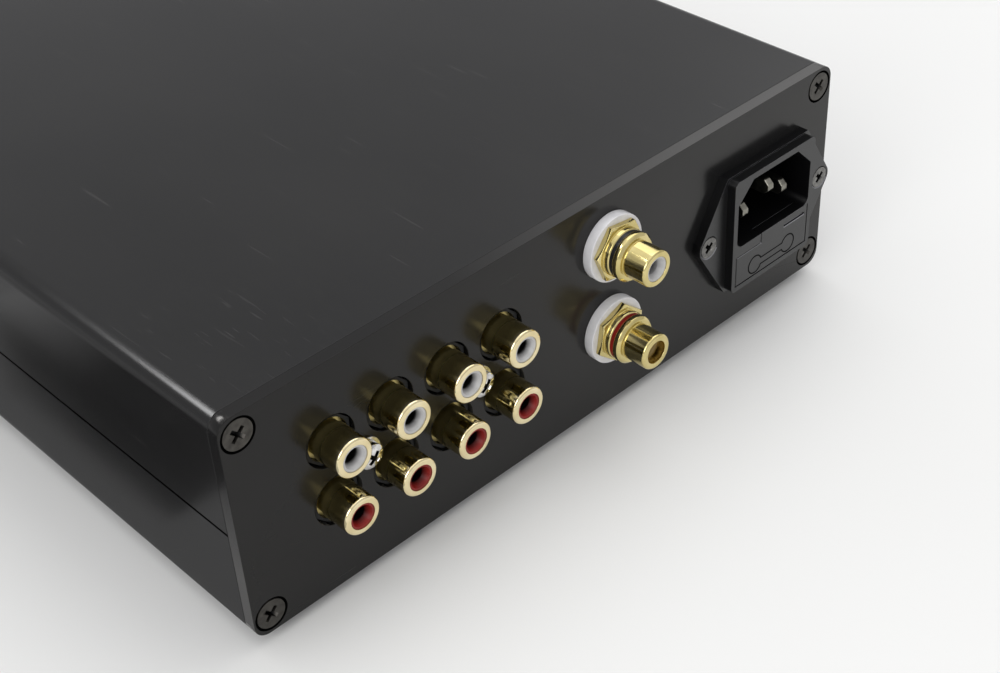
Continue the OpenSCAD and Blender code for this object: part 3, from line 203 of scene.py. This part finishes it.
# painted shade in holes and recesses: depths in millimetres behind the front of the node, and the dark
# tone painted there
holeShades = {
    "white_input_insulators": {"start": 0.5, "deep": 1.9, "tone": (0.004, 0.004, 0.004)},
    "red_input_insulators": {"start": 0.4, "deep": 1.7, "tone": (0.003, 0.002, 0.002)},
    "white_output_insulator": {"start": 0.6, "deep": 3.2, "tone": (0.16, 0.16, 0.17)},
    "amber_output_insulator": {"start": 0.8, "deep": 3.6, "tone": (0.15, 0.095, 0.035)},
    "input_barrels": {"start": 0.6, "deep": 1.5, "tone": (0.57, 0.47, 0.19)},
    "input_block_screws": {
        "start": 0.15, "deep": 0.7, "tone": (0.012, 0.012, 0.012), "within": 1.5, "outer": 3.5,
    },
    "rear_panel_screws": {"start": 0.3, "deep": 0.8, "tone": (0.002, 0.002, 0.002)},
    "inlet_screws": {"start": 0.12, "deep": 0.45, "tone": (0.003, 0.003, 0.003)},
}


# painted shade: a sleeve's hole, a screw's recess and a barrel behind its lip are painted darker with
# their depth
def paintHoleShade(material, node, look):
    tree, bsdf = shaderOf(material)
    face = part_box(node)[1].y
    along = axesOf(tree, placeOf(tree))["Y"]
    bright = remap(tree, along, face - look["deep"] * mm, face - look["start"] * mm)
    if "within" in look:  # only the recess, not the head round it
        rim = calc(tree, "GREATER_THAN", axisRadius(tree, node, look["outer"]), look["within"] * mm)
        bright = calc(tree, "MAXIMUM", bright, rim)
    feed(tree, mixTone(tree, bright, look["tone"], baseTone(bsdf)), bsdf.inputs["Base Color"])
    return material


# painted shade and highlight: the inlet's walls are painted darker and less shiny than its front, the
# inside of its socket is painted black, and its upper front edges are painted light
inletPaintedLightLook = {
    "wall": 0.20, "front": 0.5, "from": 0.12, "to": 0.60, "deep": (0.0024, 0.0024, 0.0028),
    # painted highlight: the light tone of the upper front edges, and the facing range where it is painted
    "edge": (0.20, 0.20, 0.215), "edgeFrom": 0.25, "edgeTo": 0.97,
}


def paintInletShadeAndHighlight(material, face, look):
    tree, bsdf = shaderOf(material)
    lean = facingOf(tree)
    outside = calc(tree, "GREATER_THAN", axesOf(tree, placeOf(tree))["Y"], face)
    front = calc(tree, "MULTIPLY", remap(tree, lean["Y"], look["from"], look["to"]), outside)
    shade = mixTone(tree, front, look["deep"], baseTone(bsdf))
    shine = remap(tree, front, 0.0, 1.0, look["wall"], look["front"])
    feed(tree, shine, bsdf.inputs["Specular IOR Level"])
    rim = calc(tree, "LESS_THAN", lean["Y"], look["edgeTo"])
    high = calc(tree, "GREATER_THAN", lean["Z"], look["edgeFrom"])
    rim = calc(tree, "MULTIPLY", calc(tree, "MULTIPLY", rim, high), front)
    feed(tree, mixTone(tree, rim, shade, look["edge"]), bsdf.inputs["Base Color"])


# barrels are polished at the mouth and dull at the root
rootLook = {"from": 0.8, "to": 4.0, "dull": 0.26}


def dullRoot(material, look):
    tree, bsdf = shaderOf(material)
    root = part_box("rear_panel")[1].y
    along = axesOf(tree, placeOf(tree))["Y"]
    fade = remap(tree, along, root + look["from"] * mm, root + look["to"] * mm, look["dull"], 0.0)
    rough = bsdf.inputs["Roughness"]
    feed(tree, calc(tree, "ADD", fade, rough.links[0].from_socket), rough)


# black anodised case: drawing lines along the length and faint rubs
caseLook = {
    "dark": (0.0085, 0.0085, 0.0088),
    "light": (0.0125, 0.0122, 0.0122),
    "lines": (2600.0, 30.0, 2600.0),
    "rubs": (900.0, 45.0, 900.0),
    "rub": (0.040, 0.039, 0.038),
    "rubFrom": 0.71,
    "rubTo": 0.80,
    "rubMost": 0.5,
    "rough": (0.21, 0.29),
    "ior": 1.42,
    "sheen": (0.58, 0.58, 0.58),
    "cloud": (24.0, 16.0, 24.0),
    "relief": 0.10,
    "depth": 0.02,
    # painted shade: the black of the countersinks and of the groove between the shells
    "sink": (0.0012, 0.0012, 0.0012),
    "sinkRadius": 3.9,  # millimetres
    "headRadius": 3.35,
    "shine": 0.5,
    "seamDown": 0.1,
    "seamHalf": 0.22,
    # painted light: the paler tone of the panel edges, and the bands where it is painted
    "edge": (0.064, 0.063, 0.062),
    "paintedLitEdgeTurn": 0.5,
    "paintedLitEdge": (("X", "Z", 0.042, 0.020), ("Z", "X", 0.030, -0.040)),  # facing, along, black from, pale from
    # painted shade: the shine is lowered towards the +X end of a panel
    "dim": 0.36,  # shine at the left end of a panel
    "dimFrom": 0.087,
    "dimTo": -0.030,
}
panelLook = {
    **caseLook, "lines": (30.0, 2600.0, 2600.0), "rubs": (45.0, 900.0, 900.0), "rubMost": 0.12,
    "rough": (0.165, 0.225), "relief": 0.06, "sheen": (0.60, 0.58, 0.555),
}


def anodised(name, look):
    material, tree, bsdf = newMaterial(name)
    cloud = noiseAt(tree, look["cloud"], "cloud")
    colour = tinted(tree, cloud, look["dark"], look["light"])
    rubs = noiseAt(tree, look["rubs"], "marks")
    mark = remap(tree, rubs, look["rubFrom"], look["rubTo"], 0.0, look["rubMost"])
    feed(tree, mixTone(tree, mark, colour, look["rub"]), bsdf.inputs["Base Color"])
    bsdf.inputs["IOR"].default_value = look["ior"]
    bsdf.inputs["Specular Tint"].default_value = (*look["sheen"], 1.0)
    addGrain(tree, bsdf, noiseAt(tree, look["lines"], "lines"), look)
    return material


# painted light and shade: a panel's side edges are painted paler than its face towards the bottom, its
# top and bottom edges paler towards the -X end, its countersinks are painted deep black without shine,
# and its shine is painted lower towards the +X end
def panelEdges(material, screws, look):
    tree, bsdf = shaderOf(material)
    radius = axisRadius(tree, screws, look["headRadius"])
    inside = calc(tree, "LESS_THAN", radius, look["sinkRadius"] * mm)
    facing, where = facingOf(tree), axesOf(tree, placeOf(tree))
    tone = baseTone(bsdf)
    for facingAxis, alongAxis, start, end in look["paintedLitEdge"]:
        turned = calc(tree, "ABSOLUTE", facing[facingAxis])
        paintedLitEdge = calc(tree, "GREATER_THAN", turned, look["paintedLitEdgeTurn"])
        paler = calc(tree, "MULTIPLY", paintedLitEdge, remap(tree, where[alongAxis], start, end))
        tone = mixTone(tree, paler, tone, look["edge"])
    feed(tree, mixTone(tree, inside, tone, look["sink"]), bsdf.inputs["Base Color"])
    shine = remap(tree, where["X"], look["dimFrom"], look["dimTo"], look["dim"], look["shine"])
    level = calc(tree, "MULTIPLY", shine, calc(tree, "SUBTRACT", 1.0, inside))
    feed(tree, level, bsdf.inputs["Specular IOR Level"])


# painted shade: the groove between the shells is painted black and loses its shine
def seamLine(material, height, look):
    tree, bsdf = shaderOf(material)
    upright = axesOf(tree, placeOf(tree))["Z"]
    away = calc(tree, "SUBTRACT", upright, height - look["seamDown"] * mm)
    groove = calc(tree, "LESS_THAN", calc(tree, "ABSOLUTE", away), look["seamHalf"] * mm)
    feed(tree, mixTone(tree, groove, baseTone(bsdf), look["sink"]), bsdf.inputs["Base Color"])
    feed(tree, remap(tree, groove, 0.0, 1.0, look["shine"], 0.0), bsdf.inputs["Specular IOR Level"])


# short scuffs on the top where the case is handled
scuffLook = {
    "place": (0.072, 0.094, 0.0585), "reach": 0.026, "lines": (1300.0, 120.0, 1300.0),
    "from": 0.65, "to": 0.76, "most": 0.55, "tone": (0.055, 0.054, 0.053),
}


def scuffs(material, look):
    tree, bsdf = shaderOf(material)
    away = vectorCalc(tree, "DISTANCE", placeOf(tree), look["place"])
    near = remap(tree, away, 0.0, look["reach"], look["most"], 0.0)
    mark = remap(tree, noiseAt(tree, look["lines"], "marks"), look["from"], look["to"])
    worn = mixTone(tree, calc(tree, "MULTIPLY", near, mark), baseTone(bsdf), look["tone"])
    feed(tree, worn, bsdf.inputs["Base Color"])


shellBlack = anodised("shellBlack", caseLook)
scuffs(shellBlack, scuffLook)
seamLine(shellBlack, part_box("upper_shell")[0].z, caseLook)
panelBlack = anodised("panelBlack", panelLook)
panelEdges(panelBlack, "rear_panel_screws", panelLook)
print("case finish made")

# controls on the front
knobLook = {
    "dark": (0.011, 0.011, 0.012), "light": (0.020, 0.020, 0.021), "rough": (0.26, 0.40),
    "rings": 3800.0, "relief": 0.25, "depth": 0.02, "ior": 1.8,
}
buttonLook = {
    "dark": (0.52, 0.52, 0.53), "light": (0.66, 0.66, 0.67), "rough": (0.22, 0.36),
    "rings": 4200.0, "relief": 0.2, "depth": 0.01, "metal": 1.0,
}


# metal turned on a lathe: fine rings round the node's own axis along Y
def turnedMetal(name, node, look):
    material, tree, bsdf = newMaterial(name)
    low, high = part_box(node)
    middle = (low + high) / 2
    place = placeOf(tree)
    away = vectorCalc(tree, "SUBTRACT", place, (middle.x, 0.0, middle.z))
    reach = vectorCalc(tree, "LENGTH", vectorCalc(tree, "MULTIPLY", away, acrossY))
    rings = {"Scale": look["rings"], "Detail": noiseDetail["grain"]}
    noise = addNode(tree, "TexNoise", rings, noise_dimensions="1D")
    feed(tree, calc(tree, "ADD", reach, axesOf(tree, place)["Y"]), noise.inputs["W"])
    ring = noise.outputs["Fac"]
    feed(tree, tinted(tree, ring, look["dark"], look["light"]), bsdf.inputs["Base Color"])
    addGrain(tree, bsdf, ring, look)
    bsdf.inputs["Metallic"].default_value = look.get("metal", 0.0)
    bsdf.inputs["IOR"].default_value = look.get("ior", plainIor)
    return material


# all other finishes, with the scale of their patches and grain per metre
finishes = {
    "screwBlack": {
        "dark": (0.040, 0.037, 0.033), "light": (0.075, 0.070, 0.062), "patch": (700.0,) * 3,
        "grain": (2200.0,) * 3, "rough": (0.30, 0.44), "relief": 0.15, "depth": 0.02, "metal": 0.8,
    },
    "screwSteel": {
        "dark": (0.10, 0.098, 0.094), "light": (0.22, 0.215, 0.205), "patch": (900.0,) * 3,
        "grain": (2200.0,) * 3, "rough": (0.18, 0.34), "relief": 0.15, "depth": 0.02, "metal": 1.0,
    },
    "inletPlastic": {
        "dark": (0.0040, 0.0040, 0.0044), "light": (0.0066, 0.0066, 0.0070), "patch": (160.0,) * 3,
        "grain": (2800.0,) * 3, "rough": (0.30, 0.42), "relief": 0.22, "depth": 0.03, "ior": 1.58,
    },
    "blockPlastic": {
        "dark": (0.008, 0.008, 0.009), "light": (0.014, 0.014, 0.015), "patch": (200.0,) * 3,
        "grain": (2400.0,) * 3, "rough": (0.36, 0.50), "relief": 0.2, "depth": 0.03,
    },
    "blockBlack": {
        "dark": (0.0016, 0.0016, 0.0018), "light": (0.0034, 0.0034, 0.0036), "patch": (200.0,) * 3,
        "grain": (2400.0,) * 3, "rough": (0.40, 0.55), "relief": 0.2, "depth": 0.03, "ior": 1.32,
    },
    "screwBright": {
        "dark": (0.46, 0.45, 0.44), "light": (0.80, 0.79, 0.77), "patch": (1100.0,) * 3,
        "grain": (1000.0,) * 3, "rough": (0.05, 0.13), "relief": 0.4, "depth": 0.05, "metal": 1.0,
    },
    "brightNickel": {
        "dark": (0.58, 0.56, 0.52), "light": (0.80, 0.78, 0.74), "patch": (500.0,) * 3,
        "grain": (1500.0,) * 3, "rough": (0.12, 0.24), "relief": 0.06, "depth": 0.02, "metal": 1.0,
    },
    # painted shade: a darker copy of the nickel for the inlet pins, which sit in the socket
    "bladeNickelPaintedShade": {
        "dark": (0.17, 0.165, 0.14), "light": (0.30, 0.29, 0.25), "patch": (500.0,) * 3,
        "grain": (1500.0,) * 3, "rough": (0.24, 0.36), "relief": 0.06, "depth": 0.02, "metal": 1.0,
    },
    "gold": {
        "dark": (0.58, 0.48, 0.19), "light": (0.72, 0.61, 0.29), "patch": (260.0,) * 3,
        "grain": (200.0, 2600.0, 200.0), "rough": (0.10, 0.18), "relief": 0.002, "depth": 0.01,
        "metal": 1.0,
    },
    "barrelGold": {
        "dark": (0.76, 0.64, 0.36), "light": (0.88, 0.77, 0.50), "patch": (260.0,) * 3,
        "grain": (200.0, 2600.0, 200.0), "rough": (0.07, 0.13), "relief": 0.002, "depth": 0.01,
        "metal": 1.0,
    },
    "whiteNylon": {
        "dark": (0.62, 0.615, 0.63), "light": (0.74, 0.735, 0.75), "patch": (300.0,) * 3,
        "grain": (1800.0,) * 3, "rough": (0.28, 0.40), "relief": 0.08, "depth": 0.02,
    },
    "sleeveWhite": {
        "dark": (0.44, 0.435, 0.43), "light": (0.56, 0.555, 0.55), "patch": (300.0,) * 3,
        "grain": (1800.0,) * 3, "rough": (0.30, 0.42), "relief": 0.08, "depth": 0.02,
    },
    "redNylon": {
        "dark": (0.17, 0.007, 0.005), "light": (0.26, 0.013, 0.009), "patch": (300.0,) * 3,
        "grain": (1800.0,) * 3, "rough": (0.34, 0.46), "relief": 0.08, "depth": 0.02, "ior": 1.34,
    },
    "amberNylon": {
        "dark": (0.34, 0.24, 0.10), "light": (0.46, 0.34, 0.16), "patch": (300.0,) * 3,
        "grain": (1800.0,) * 3, "rough": (0.24, 0.36), "relief": 0.08, "depth": 0.02,
    },
    "blackNylon": {
        "dark": (0.006, 0.006, 0.007), "light": (0.012, 0.012, 0.013), "patch": (300.0,) * 3,
        "grain": (1800.0,) * 3, "rough": (0.24, 0.36), "relief": 0.08, "depth": 0.02,
    },
    # painted shade: black for the fuse sign's moulded lines
    "signPaintedShadeBlack": {
        "dark": (0.001, 0.001, 0.001), "light": (0.003, 0.003, 0.003), "patch": (600.0,) * 3,
        "grain": (1800.0,) * 3, "rough": (0.70, 0.90), "relief": 0.1, "depth": 0.01, "ior": 1.2,
    },
    "footRubber": {
        "dark": (0.010, 0.010, 0.010), "light": (0.018, 0.018, 0.017), "patch": (250.0,) * 3,
        "grain": (1600.0,) * 3, "rough": (0.66, 0.84), "relief": 0.35, "depth": 0.06,
    },
    "windowRed": {
        "dark": (0.020, 0.002, 0.003), "light": (0.032, 0.003, 0.004), "patch": (120.0,) * 3,
        "grain": (900.0,) * 3, "rough": (0.05, 0.10), "relief": 0.02, "depth": 0.01, "coat": 0.5,
    },
    "lightGuide": {
        "dark": (0.16, 0.36, 0.52), "light": (0.24, 0.48, 0.64), "patch": (400.0,) * 3,
        "grain": (900.0,) * 3, "rough": (0.08, 0.16), "relief": 0.02, "depth": 0.01, "coat": 0.3,
    },
    "fuseGlass": {
        "dark": (0.90, 0.94, 0.94), "light": (0.97, 0.99, 0.99), "patch": (200.0,) * 3,
        "grain": (700.0,) * 3, "rough": (0.02, 0.05), "relief": 0.01, "depth": 0.01, "clear": 1.0,
    },
    "boardGreen": {
        "dark": (0.012, 0.075, 0.028), "light": (0.022, 0.125, 0.045), "patch": (420.0, 120.0, 120.0),
        "grain": (900.0,) * 3, "rough": (0.24, 0.42), "relief": 0.3, "depth": 0.04, "coat": 0.2,
    },
    "sleeveBlue": {
        "dark": (0.012, 0.022, 0.060), "light": (0.020, 0.036, 0.090), "patch": (180.0,) * 3,
        "grain": (1200.0,) * 3, "rough": (0.26, 0.40), "relief": 0.1, "depth": 0.03,
    },
    "millAluminium": {
        "dark": (0.46, 0.46, 0.47), "light": (0.62, 0.62, 0.63), "patch": (60.0, 600.0, 600.0),
        "grain": (90.0, 1800.0, 1800.0), "rough": (0.28, 0.46), "relief": 0.15, "depth": 0.02,
        "metal": 1.0,
    },
    "plainBrass": {
        "dark": (0.48, 0.33, 0.11), "light": (0.64, 0.46, 0.17), "patch": (300.0,) * 3,
        "grain": (1500.0,) * 3, "rough": (0.22, 0.38), "relief": 0.1, "depth": 0.02, "metal": 1.0,
    },
    "tapeWrap": {
        "dark": (0.42, 0.26, 0.06), "light": (0.62, 0.42, 0.12), "patch": (240.0, 240.0, 20.0),
        "grain": (420.0, 420.0, 40.0), "rough": (0.30, 0.48), "relief": 0.5, "depth": 0.15,
    },
    "zincSteel": {
        "dark": (0.42, 0.43, 0.44), "light": (0.60, 0.61, 0.60), "patch": (160.0,) * 3,
        "grain": (900.0,) * 3, "rough": (0.26, 0.42), "relief": 0.1, "depth": 0.02, "metal": 1.0,
    },
    "leadBrown": {
        "dark": (0.10, 0.035, 0.012), "light": (0.15, 0.055, 0.02), "patch": (200.0,) * 3,
        "grain": (1000.0,) * 3, "rough": (0.36, 0.50), "relief": 0.1, "depth": 0.02,
    },
    "relayWhite": {
        "dark": (0.60, 0.60, 0.57), "light": (0.70, 0.70, 0.67), "patch": (180.0,) * 3,
        "grain": (1400.0,) * 3, "rough": (0.34, 0.46), "relief": 0.1, "depth": 0.02,
    },
    "filmRed": {
        "dark": (0.24, 0.020, 0.014), "light": (0.34, 0.034, 0.022), "patch": (200.0,) * 3,
        "grain": (1200.0,) * 3, "rough": (0.30, 0.44), "relief": 0.15, "depth": 0.03,
    },
}
made = {}


def sharedFinish(name):
    if name not in made:
        made[name] = finishOf(name, finishes[name])
    return made[name]


# which node wears which finish
wearing = {
    "screwBlack": ["front_panel_screws", "rear_panel_screws", "volume_set_screw"],
    "screwSteel": ["inlet_screws"],
    "inletPlastic": ["inlet_housing", "fuse_drawer"],
    "blockBlack": ["input_block_housing"],
    "screwBright": ["input_block_screws"],
    "blockPlastic": ["power_switch", "signal_chips", "bridge_rectifier", "regulators", "ir_receiver"],
    "bladeNickelPaintedShade": ["inlet_pins"],
    "brightNickel": ["fuse_caps", "input_contacts", "board_screws", "output_solder_tags", "bushing_nuts"],
    "barrelGold": ["input_barrels"],
    "gold": ["output_jack_bodies", "output_nuts", "output_contacts"],
    "whiteNylon": ["output_washers"],
    "sleeveWhite": ["white_input_insulators", "white_output_insulator"],
    "redNylon": ["red_input_insulators", "red_marker_ring"],
    "amberNylon": ["amber_output_insulator"],
    "blackNylon": ["black_marker_ring"],
    "footRubber": ["feet", "transformer_pads"],
    "windowRed": ["ir_window"],
    "lightGuide": ["indicator_leds"],
    "fuseGlass": ["fuse_glass"],
    "boardGreen": ["main_board", "power_board", "front_board", "source_encoder"],
    "sleeveBlue": ["filter_capacitors"],
    "millAluminium": ["heatsinks", "volume_pot", "volume_motor"],
    "plainBrass": ["board_standoffs", "front_spacers"],
    "tapeWrap": ["transformer"],
    "zincSteel": ["transformer_dish", "transformer_bolt", "volume_shaft", "source_shaft"],
    "leadBrown": ["mains_leads"],
    "relayWhite": ["input_relays"],
    "filmRed": ["coupling_capacitors"],
}
dressed = {node: shellBlack for node in ("upper_shell", "lower_shell")}
dressed.update({node: panelBlack for node in ("front_panel", "rear_panel")})
dressed["volume_knob"] = turnedMetal("volumeKnobBlack", "volume_knob", knobLook)
dressed["source_knob"] = turnedMetal("sourceKnobBlack", "source_knob", knobLook)
dressed["power_button"] = turnedMetal("buttonSilver", "power_button", buttonLook)
for name, group in wearing.items():
    for node in group:
        # nodes with painted shade in their holes get a finish of their own
        if node in holeShades:  # a finish of its own
            dressed[node] = paintHoleShade(finishOf(node + "_with_painted_shade", finishes[name]), node, holeShades[node])
        else:
            dressed[node] = sharedFinish(name)
paintInletShadeAndHighlight(sharedFinish("inletPlastic"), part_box("rear_panel")[1].y, inletPaintedLightLook)
dullRoot(dressed["input_barrels"], rootLook)
for node, material in dressed.items():
    mesh = nodes[node].data
    mesh.materials.clear()
    mesh.materials.append(material)
print("nodes dressed:", len(dressed), "of", len(nodes), "with", len(made), "shared finishes")

# broken edges, as wide as the real ones in millimetres
edgeWidths = {
    "upper_shell": 0.2, "lower_shell": 0.2, "front_panel": 0.3, "rear_panel": 0.25,
    "inlet_housing": 0.4, "fuse_drawer": 0.2, "volume_knob": 0.3, "source_knob": 0.3,
    "output_jack_bodies": 0.12, "input_barrels": 0.45, "output_washers": 0.2, "inlet_pins": 0.5,
    "rear_panel_screws": 0.15, "front_panel_screws": 0.15, "inlet_screws": 0.12,
    "input_block_screws": 0.12, "input_block_housing": 0.2, "power_button": 0.2, "ir_window": 0.15,
}
edgeLook = {"weld": 0.001, "steps": 3, "angle": 35.0, "weight": 100}  # millimetres and degrees


def breakEdges(node, width, look):
    piece = nodes[node]
    weld = piece.modifiers.new("weld", "WELD")
    weld.merge_threshold = look["weld"] * mm
    bevel = piece.modifiers.new("brokenEdges", "BEVEL")
    bevel.width = width * mm
    bevel.segments = look["steps"]
    bevel.limit_method = "ANGLE"
    bevel.angle_limit = math.radians(look["angle"])
    bevel.use_clamp_overlap = True
    bevel.harden_normals = True
    if node == "upper_shell":  # keeps the long fillets straight in their reflections
        even = piece.modifiers.new("evenNormals", "WEIGHTED_NORMAL")
        even.weight = look["weight"]


for node, width in edgeWidths.items():
    breakEdges(node, width, edgeLook)
print("edges broken on", len(edgeWidths), "nodes")

# moulded outline of a fuse on the drawer's front: two round ends and a neck, in millimetres; its black
# line is painted shade for the moulded lines
fuseSign = {
    "ends": 6.0, "radius": 2.3, "neck": 0.9, "up": 2.85, "line": 0.24, "sink": 0.14,
    "steps": 24, "round": 2,
}


def drawFuseSign(sign):
    low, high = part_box("fuse_drawer")
    middle = Vector(((low.x + high.x) / 2, high.y - sign["sink"] * mm, low.z + sign["up"] * mm))
    meet = math.asin(sign["neck"] / sign["radius"])
    steps = sign["steps"]
    arc = [meet + (math.tau - 2 * meet) * i / steps for i in range(steps + 1)]
    end = [(sign["ends"] - sign["radius"] * math.cos(a), sign["radius"] * math.sin(a)) for a in arc]
    outline = end + [(-x, -z) for x, z in end]
    curve = bpy.data.curves.new("fuseSign", "CURVE")
    curve.dimensions = "3D"
    curve.bevel_depth = sign["line"] * mm
    curve.bevel_resolution = sign["round"]
    spline = curve.splines.new("POLY")
    spline.points.add(len(outline) - 1)
    for point, (x, z) in zip(spline.points, outline):
        spot = middle + Vector((x, 0.0, z)) * mm
        point.co = (*spot, 1.0)
    spline.use_cyclic_u = True
    piece = bpy.data.objects.new("fuse_sign", curve)
    scene.collection.objects.link(piece)
    curve.materials.append(sharedFinish("signPaintedShadeBlack"))
    return piece


fuseLine = drawFuseSign(fuseSign)
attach(fuseLine, "fuse_carrier")
print("fuse sign drawn")

# pale floor
floorLook = {
    "size": 8.0, "dark": (0.80, 0.80, 0.79), "light": (0.84, 0.84, 0.83), "cloud": (3.0, 3.0, 3.0),
    "rough": 0.6, "shine": 0.2,
}


def layFloor(look):
    half = look["size"] / 2
    corners = [(-half, -half, 0.0), (half, -half, 0.0), (half, half, 0.0), (-half, half, 0.0)]
    mesh = bpy.data.meshes.new("floor")
    mesh.from_pydata(corners, [], [(0, 1, 2, 3)])
    floor = bpy.data.objects.new("floor", mesh)
    scene.collection.objects.link(floor)
    material, tree, bsdf = newMaterial("floorPale")
    cloud = noiseAt(tree, look["cloud"], "patch")
    feed(tree, tinted(tree, cloud, look["dark"], look["light"]), bsdf.inputs["Base Color"])
    bsdf.inputs["Roughness"].default_value = look["rough"]
    bsdf.inputs["Specular IOR Level"].default_value = look["shine"]
    mesh.materials.append(material)


# soft white sky, darker near the horizon
skyLook = {
    "low": (0.52, 0.52, 0.53), "high": (1.0, 1.0, 1.0), "places": (0.58, 0.98), "strength": 1.22,
}


def makeSky(look):
    world = bpy.data.worlds.new("studio")
    scene.world = world
    world.use_nodes = True
    tree = world.node_tree
    back = tree.nodes["Background"]
    back.inputs["Strength"].default_value = look["strength"]
    upright = axesOf(tree, placeOf(tree, "Generated"))["Z"]
    feed(tree, tinted(tree, upright, look["low"], look["high"], look["places"]), back.inputs["Color"])


# two soft boxes, and a small strip that is seen only in polished edges
lamps = {
    "leftBox": {"place": (1.3, 0.5, 0.8), "aim": (0.1, 0.05, 0.0), "size": (0.9, 0.9), "watts": 8.0},
    "topBox": {"place": (-0.9, -0.2, 1.5), "aim": (0.0, 0.0, 0.0), "size": (1.6, 1.6), "watts": 8.0},
    "edgeStrip": {
        "place": (0.130, -0.031, 0.217), "aim": (0.086, 0.105, 0.057), "along": (-0.7, 0.0, 0.7),
        "size": (0.11, 0.035), "watts": 0.024, "gloss": True, "spread": 46.0,
    },
}


def hangLamp(name, setup):
    light = bpy.data.lights.new(name, "AREA")
    light.energy = setup["watts"]
    light.shape = "RECTANGLE"
    light.size, light.size_y = setup["size"]
    light.spread = math.radians(setup.get("spread", 180.0))
    lamp = bpy.data.objects.new(name, light)
    back = (Vector(setup["place"]) - Vector(setup["aim"])).normalized()
    side = Vector(setup.get("along", (1.0, 0.0, 0.0)))
    side = (side - back * side.dot(back)).normalized()
    turn = Matrix((side, back.cross(side), back)).transposed()
    lamp.matrix_world = Matrix.Translation(setup["place"]) @ turn.to_4x4()
    scene.collection.objects.link(lamp)
    if setup.get("gloss"):
        lamp.visible_camera = False
        lamp.visible_diffuse = False


# cards beside the case, seen only as soft dark reflections in its side
cards = {
    "blackCard": {
        "low": (0.098, 0.004), "high": (0.30, 0.070), "foot": 0.0005, "height": 0.025, "rough": 0.9,
        "tone": (0.008, 0.008, 0.008), "soft": (0.045, 0.006), "pale": (0.55, 0.55, 0.55),
    },
    "greyCard": {
        "low": (0.089, -0.30), "high": (0.40, 0.16), "foot": 0.0005, "height": 0.0008, "rough": 0.9,
        "tone": (0.40, 0.40, 0.40),
    },
}


def standCard(name, look):
    (left, front), (right, back) = look["low"], look["high"]
    ring = [(left, front), (right, front), (right, back), (left, back)]
    points = [(x, y, z) for z in (look["foot"], look["height"]) for x, y in ring]
    faces = [(4, 5, 6, 7)] + [(i, (i + 1) % 4, (i + 1) % 4 + 4, i + 4) for i in range(4)]
    mesh = bpy.data.meshes.new(name)
    mesh.from_pydata(points, [], faces)
    card = bpy.data.objects.new(name, mesh)
    scene.collection.objects.link(card)
    material, tree, bsdf = newMaterial(name)
    bsdf.inputs["Base Color"].default_value = (*look["tone"], 1.0)
    bsdf.inputs["Roughness"].default_value = look["rough"]
    if "soft" in look:  # fades towards the front
        fade = remap(tree, axesOf(tree, placeOf(tree))["Y"], *look["soft"])
        feed(tree, mixTone(tree, fade, look["tone"], look["pale"]), bsdf.inputs["Base Color"])
    mesh.materials.append(material)
    card.visible_camera = False
    card.visible_diffuse = False
    card.visible_shadow = False


layFloor(floorLook)
makeSky(skyLook)
for name, look in cards.items():
    standCard(name, look)
for name, setup in lamps.items():
    hangLamp(name, setup)
print("floor and lights placed")
